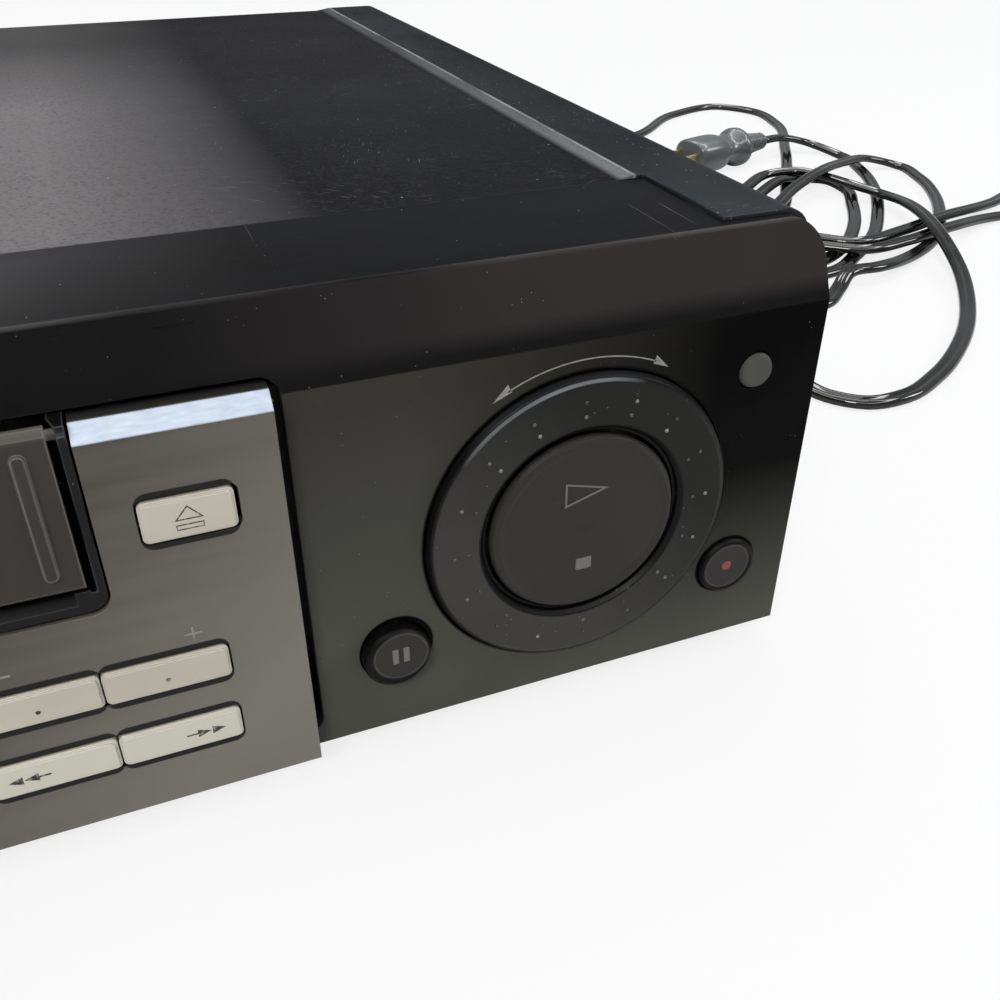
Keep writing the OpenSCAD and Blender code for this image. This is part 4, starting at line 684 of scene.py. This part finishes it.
# ---------------------------------------------------------------- the mains lead
# Points along the middle of the lead in millimetres, from the case to the plug's neck.
ROUTE = [
    (188, 171, 24), (189, 187, 20), (199, 210, 8), (224, 231, 2), (270, 245, 2), (330, 252, 2),
    (388, 262, 2), (414, 276, 2), (460, 314, 2), (500, 323, 2), (514, 302, 2), (508, 266, 2),
    (478, 214, 2), (439, 157, 2), (408, 116, 2), (376, 86, 2), (341, 66, 2), (321, 34, 2),
    (307, -6, 2), (300, -42, 2), (302, -60, 2), (311, -69, 2), (326, -70, 2), (346, -62, 2),
    (372, -45, 2), (402, -17, 2), (424, 13, 5), (436, 40, 10), (451, 75, 10), (460, 108, 6),
    (454, 124, 7), (450, 142, 7), (443, 155, 7), (430, 159, 6), (400, 143, 4), (378, 137, 2),
    (360, 129, 2), (352, 115, 2), (363, 104, 2), (380, 110, 2), (408, 136, 4), (426, 146, 6),
    (445, 153, 3), (458, 149, 2), (458, 132, 2), (444, 108, 2), (423, 80, 2), (401, 59, 2),
    (381, 47, 2), (364, 42, 2), (352, 48, 2), (354, 61, 4), (368, 63, 6), (382, 55, 6),
    (398, 43, 6), (424, 45, 6), (452, 52, 6), (502, 66, 2), (532, 63, 2), (552, 67, 2),
    (560, 80, 2), (552, 93, 2), (532, 92, 2), (510, 82, 3), (461, 66, 6), (431, 57, 6),
    (402, 52, 6), (381, 70, 6), (359, 76, 6), (343, 82, 4), (342, 93, 2), (356, 98, 2),
    (376, 99, 3), (395, 107, 6), (417, 122, 9), (440, 135, 11), (471, 153, 9), (498, 163, 6),
    (514, 158, 2), (508, 132, 2), (493, 104, 2), (472, 77, 2), (445, 51, 2), (416, 34, 3),
    (390, 23, 6), (374, 22, 6), (364, 15, 3), (350, 6, 2), (336, 9, 2), (332, 22, 2),
    (344, 31, 2), (362, 32, 2), (379, 35, 2), (398, 47, 2), (422, 65, 2), (446, 91, 2),
    (471, 124, 2), (489, 158, 2), (498, 190, 2), (490, 207, 5), (474, 210, 9), (454, 205, 10.4)
]
LEAD_LOWEST = 0.0018
CORE_RADIUS, CORE_OFFSET, CORE_POINTS = 1.7, 1.5, 11


def smooth_route(points, step=0.003):
    """A curve through the points: Hermite spans with tangents weighted by the spans' lengths."""
    p = [Vector(q) / 1000 for q in points]
    n = len(p)
    span = [(p[i + 1] - p[i]).length for i in range(n - 1)]
    tangents = []
    for i in range(n):
        if i == 0:
            tangents.append((p[1] - p[0]) / span[0])
        elif i == n - 1:
            tangents.append((p[-1] - p[-2]) / span[-1])
        else:
            a, b = span[i - 1], span[i]
            tangents.append(((p[i] - p[i - 1]) / a * b + (p[i + 1] - p[i]) / b * a) / (a + b))
    out = []
    for i in range(n - 1):
        m = max(2, int(span[i] / step))
        for j in range(m):
            t = j / m
            t2, t3 = t * t, t * t * t
            out.append(p[i] * (2 * t3 - 3 * t2 + 1) + tangents[i] * span[i] * (t3 - 2 * t2 + t)
                       + p[i + 1] * (3 * t2 - 2 * t3) + tangents[i + 1] * span[i] * (t3 - t2))
    out.append(p[-1])
    return [Vector((q.x, q.y, max(q.z, LEAD_LOWEST))) for q in out]


def lead_profile():
    """The round backs of the two cores with a groove between them, 6.4 by 3.4 mm, in metres."""
    points = []
    for side in (1, -1):
        for i in range(CORE_POINTS):
            a = math.radians(-140 + i * 28)
            points.append((side * (CORE_OFFSET + CORE_RADIUS * math.cos(a)) / 1000,
                           side * CORE_RADIUS * math.sin(a) / 1000))
    return points


def build_lead():
    line, profile = smooth_route(ROUTE), lead_profile()
    verts = []
    side = Vector((1, 0, 0))
    for i, centre in enumerate(line):
        along = (line[min(i + 1, len(line) - 1)] - line[max(i - 1, 0)]).normalized()
        flat = Vector((along.y, -along.x, 0))
        if flat.length > 0.05:
            side = flat.normalized()
        up = side.cross(along).normalized()
        verts += [centre + side * a + up * b for a, b in profile]
    sides = len(profile)
    ob = make("lead", verts, skin(len(line), sides), "lead", "case", smooth=True)
    # one core carries a warm olive tone, a painted reflection
    ob.data.materials.append(mats["lead_warm_reflection"])
    for i, poly in enumerate(ob.data.polygons[:-2]):
        poly.material_index = 1 if i % sides < CORE_POINTS - 1 else 0
    length = sum((b - a).length for a, b in zip(line, line[1:]))
    return ob, line, length


lead, lead_line, lead_length = build_lead()
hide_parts("mains_lead")

# ---------------------------------------------------------------- the plug
# Where the plug's neck begins, in metres, and which way it points.
PLUG_AT, PLUG_TURN, PLUG_SIDES = Vector((0.454, 0.205, 0.0104)), math.radians(195.6), 40
# Rings along the plug: place, half width and half height in millimetres, and squareness.
PLUG_COLLAR = [
    (17.6, 6.4, 6.1, 2.0), (18.6, 8.0, 7.4, 2.0), (20.0, 10.6, 9.2, 2.0), (21.6, 11.9, 10.2, 2.0),
    (23.8, 12.1, 10.35, 2.0), (25.6, 11.5, 10.0, 2.0), (27.2, 10.4, 8.6, 2.0)]
PLUG_GRIP = [
    (29.0, 9.6, 7.5, 2.0), (32.0, 9.3, 7.2, 2.0), (35.0, 9.4, 7.3, 2.0), (37.0, 9.9, 7.9, 2.2),
    (38.8, 10.7, 8.7, 2.4), (41.5, 11.2, 9.1, 2.6), (48.0, 11.3, 9.1, 2.7), (55.0, 11.2, 8.9, 2.8),
    (58.0, 11.0, 8.8, 2.8), (59.4, 10.6, 8.4, 2.8), (60.0, 9.6, 7.4, 2.8)]


def plug_neck():
    """The ribbed neck: five rings for each of its six ribs."""
    rings = [(0, 3.4, 2.0, 2.0), (0.3, 4.4, 4.0, 2.0), (1.6, 4.9, 4.7, 2.0)]
    for i in range(6):
        start, w = 2.0 + i * 2.5, 4.9 + i * 0.28
        h = w * 0.95
        for on, wider, higher in ((0, 0, 0), (0.35, -0.75, -0.75), (1.05, -0.7, -0.7),
                                  (1.4, 0.15, 0.1), (2.0, 0.25, 0.15)):
            rings.append((start + on, w + wider, h + higher, 2.0))
    return rings


def build_plug():
    along = Vector((math.cos(PLUG_TURN), math.sin(PLUG_TURN), 0))
    across = Vector((-math.sin(PLUG_TURN), math.cos(PLUG_TURN), 0))
    rings = plug_neck() + PLUG_COLLAR + PLUG_GRIP
    verts = []
    for place, w, h, square in rings:
        for j in range(PLUG_SIDES):
            c, s = on_circle((0, 0), 1, 2 * math.pi * j / PLUG_SIDES)
            u = math.copysign(abs(c) ** (2 / square), c) * w
            v = math.copysign(abs(s) ** (2 / square), s) * h
            verts.append(PLUG_AT + along * place / 1000 + across * u / 1000
                         + Vector((0, 0, v / 1000)))
    return make("plug_body", verts, skin(len(rings), PLUG_SIDES), "plug", "case",
                smooth=True)


plug = build_plug()
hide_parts("mains_plug")


# ---------------------------------------------------------------- printed symbols on the front
def key_mark(name, outlines, key):
    """A dark symbol on a silver key."""
    plates(name, outlines, KEY_FACE, "print_dark", key, thick=0.03)


plates("play_mark", [frame_of([(159.6, 44.9), (168.9, 47.7), (159.6, 50.4)], 0.42)], PLAY_FACE,
       "print_dim", "play_stop_rocker")
plates("stop_mark", [box_loop(164.2, 30.3, 3.4, 3.6)], STOP_FACE, "print_dim", "play_stop_rocker")
plates("pause_mark", [box_loop(x, 19.9, 1.2, 3.6) for x in (124.2, 126.4)], PAUSE_FACE, "print_dim",
       "pause_key")
plates("record_mark", [disc_loop(RECORD, 1.15)], RECORD_FACE, "print_red", "record_key")
key_mark("eject_mark", [frame_of([(89.6, 61.7), (94.2, 61.7), (91.9, 64.3)], 0.22),
                        frame_of(box_loop(91.9, 60.4, 4.4, 1.05), 0.2)], "eject_key")
plates("plus_mark", [box_loop(88.8, 38.2, 3.1, 0.42), box_loop(88.8, 39.1, 0.42, 1.3),
                     box_loop(88.8, 37.3, 0.42, 1.3)], PANEL_FACE, "print", "case")
plates("minus_mark", [box_loop(58.3, 38.6, 3.1, 0.42)], PANEL_FACE, "print", "case")
for name, x in (("up", 83.2), ("down", 62.1)):
    key_mark("channel_%s_mark" % name, [disc_loop((x, 30.2), 0.42)], "channel_%s_key" % name)
key_mark("tracking_up_mark", [[(86.0, 15.1), (88.4, 16.0), (86.0, 16.9)],
                              [(88.6, 15.1), (91.0, 16.0), (88.6, 16.9)],
                              box_loop(85.0, 16.0, 2.0, 0.35)], "tracking_up_key")
key_mark("tracking_down_mark", [[(56.4, 15.1), (56.4, 16.9), (54.0, 16.0)],
                                [(59.0, 15.1), (59.0, 16.9), (56.6, 16.0)],
                                box_loop(60.0, 16.0, 2.0, 0.35)], "tracking_down_key")


def arc_mark():
    """The thin arc above the dial, with an arrowhead at either end."""
    radius, half = 34.7, 0.14

    def on(degrees, outwards):
        return on_circle(DIAL, radius + outwards, math.radians(degrees))

    steps = [66.5 + i * 2.5 for i in range(21)]
    strips = [[on(a, half), on(b, half), on(b, -half), on(a, -half)]
              for a, b in zip(steps, steps[1:])]
    heads = [[on(115.5, 1.3), on(122.3, -0.1), on(115.5, -0.5)],
             [on(67.0, 1.1), on(61.2, -0.3), on(67.0, -0.6)]]
    plates("shuttle_arc", strips + heads, CASE_FACE, "print", "case", thick=0.04)


def pips():
    """Small raised pips in pairs round the shuttle ring."""
    count, size, sides = 16, 0.44, 10
    levels = ((-0.04, 1.0), (0.16, 0.82), (0.26, 0.45))
    top = 0.29
    verts, faces = [], []
    for i in range(count):
        for radius in (24.1, 27.0):
            centre = on_circle(DIAL, radius, math.radians(92 - i * 360 / count))
            base = len(verts)
            for height, share in levels:
                verts += [at(x, RING_FACE - height, z)
                          for x, z in disc_loop(centre, size * share, sides)]
            verts.append(at(centre[0], RING_FACE - top, centre[1]))
            last = base + (len(levels) - 1) * sides
            for ring in range(base, last, sides):
                for j in range(sides):
                    k = (j + 1) % sides
                    faces.append((ring + j, ring + k, ring + sides + k, ring + sides + j))
            faces += [(last + j, last + (j + 1) % sides, last + sides) for j in range(sides)]
            faces.append(tuple(base + j for j in range(sides - 1, -1, -1)))
    make("ring_pips", verts, faces, "pip", "shuttle_ring", smooth=True)


arc_mark()
pips()


# ---------------------------------------------------------------- small parts on the hidden sides
def socket_insert(colour, x):
    """The coloured inserts of a phono socket and the one above it, on the back."""
    loops = [tuple(disc_loop((x, z), radius, 28) for radius in (3.5, 2.55)) for z in (27, 41)]
    slabs("socket_insert_" + colour, loops, 301.0, 308.6, "insert_" + colour, "case")


for colour, x in (("white", 71), ("red", 85), ("yellow", 99)):
    socket_insert(colour, x)


def segments():
    """Unlit figures on the display: four of seven bars each, a colon and two rows of marks."""
    left, middle, w, h, bar = SLOT_X - 55.0, 23.0, 6.0, 11.0, 1.0
    level, upright = (w - bar * 1.3, bar), (bar, h / 2 - bar * 1.3)
    loops = []
    for i in range(4):
        x = left + i * 11.0 + (5.0 if i > 1 else 0.0)
        for z in (h / 2, 0, -h / 2):
            loops.append(box_loop(x, middle + z, *level))
        for z in (h / 4, -h / 4):
            for side in (-w / 2, w / 2):
                loops.append(box_loop(x + side, middle + z, *upright))
    for z in (-2.5, 2.5):
        loops.append(box_loop(left + 19.0, middle + z, 1.2, 1.2))
    for i in range(16):
        for z in (18.0, 22.6):
            loops.append(box_loop(SLOT_X + 1.0 + i * 2.6, z, 1.7, 2.6))
    plates("display_figures", loops, 5.0, "segment", "case", thick=0.08)


segments()


# ---------------------------------------------------------------- floor and light
def build_floor(half=6.0, pale=0.80, glow=0.80):
    """A matt floor that the camera sees lit up by a share, which keeps the object's shadow."""
    mesh = bpy.data.meshes.new("floor")
    mesh.from_pydata([(-half, -half, 0), (half, -half, 0), (half, half, 0), (-half, half, 0)], [],
                     [(0, 1, 2, 3)])
    material = bpy.data.materials.new("floor_white")
    material.use_nodes = True
    tree = material.node_tree
    matt = tree.nodes["Principled BSDF"]
    for socket, value in (("Base Color", (pale, pale, pale, 1)), ("Roughness", 0.9),
                          ("Specular IOR Level", 0.1)):
        matt.inputs[socket].default_value = value
    seen = add_node(tree, "ShaderNodeLightPath").outputs["Is Camera Ray"]
    share = add_node(tree, "ShaderNodeMath", {0: seen, 1: glow}, operation="MULTIPLY").outputs[0]
    white = add_node(tree, "ShaderNodeEmission", {0: (1, 1, 1, 1), 1: 1.0}).outputs[0]
    mix = add_node(tree, "ShaderNodeMixShader", {0: share, 1: matt.outputs[0], 2: white})
    tree.links.new(mix.outputs[0], tree.nodes["Material Output"].inputs[0])
    mesh.materials.append(material)
    return put("floor", mesh)


def build_world():
    """Pale blue grey light, and white for the camera, through glass and in gloss.

    In gloss the white fades out towards the horizon, and a bright ring high up gives the glossy
    lead and the bare metal their sharp lines.
    """
    world = bpy.data.worlds.new("studio")
    bpy.context.scene.world = world
    world.use_nodes = True
    tree = world.node_tree

    def node(kind, *ins, **props):
        return add_node(tree, kind, dict(enumerate(ins)), **props)

    def calc(op, *ins, clamp=False):
        return node("ShaderNodeMath", *ins, operation=op, use_clamp=clamp).outputs[0]

    def rise(lo, hi, most=1.0):
        return node("ShaderNodeMapRange", up, lo, hi, 0.0, most).outputs[0]

    ray = node("ShaderNodeLightPath").outputs
    sky = node("ShaderNodeTexCoord").outputs["Generated"]
    up = node("ShaderNodeSeparateXYZ", sky).outputs[2]
    ring = calc("MULTIPLY", rise(0.74, 0.76), rise(0.84, 0.82))
    gloss = calc("MAXIMUM", rise(0.2, 0.9, 0.20), ring)
    seen = calc("ADD", ray["Is Camera Ray"], ray["Is Transmission Ray"], clamp=True)
    share = calc("MULTIPLY_ADD", ray["Is Glossy Ray"], gloss, seen, clamp=True)
    power = calc("MULTIPLY_ADD", calc("MULTIPLY", ring, ray["Is Glossy Ray"]), 9.0, 1.0)
    white = node("ShaderNodeBackground", (1, 1, 1, 1), power)
    light = tree.nodes["Background"]
    light.inputs[0].default_value = (0.95, 0.97, 1.0, 1)
    light.inputs[1].default_value = 0.40
    mix = node("ShaderNodeMixShader", share, light.outputs[0], white.outputs[0])
    tree.links.new(mix.outputs[0], tree.nodes["World Output"].inputs[0])


def lamp(name, spot, target, size, watts, colour):
    data = bpy.data.lights.new(name, "AREA")
    data.shape = "RECTANGLE"
    data.size, data.size_y = size
    data.energy = watts
    data.color = colour
    ob = put(name, data)
    ob.location = spot
    aim(ob, Vector(target) - Vector(spot))


floor = build_floor()
build_world()
lamp("key", (-0.9, -1.5, 1.7), (0.1, 0, 0.05), (0.6, 0.5), 28, (1.0, 0.985, 0.96))
lamp("top", (0.3, 0.5, 2.0), (0.15, 0.05, 0.0), (1.6, 1.6), 16, (0.96, 0.98, 1.0))
lamp("side", (1.8, -0.5, 1.0), (0.2, 0, 0.05), (0.5, 0.5), 10, (0.95, 0.97, 1.0))
lamp("back", (-0.75, 2.4, 0.75), (0.0, 0.1, 0.09), (1.2, 0.5), 2, (1.0, 0.98, 0.97))

bpy.context.scene.view_settings.view_transform = "Standard"
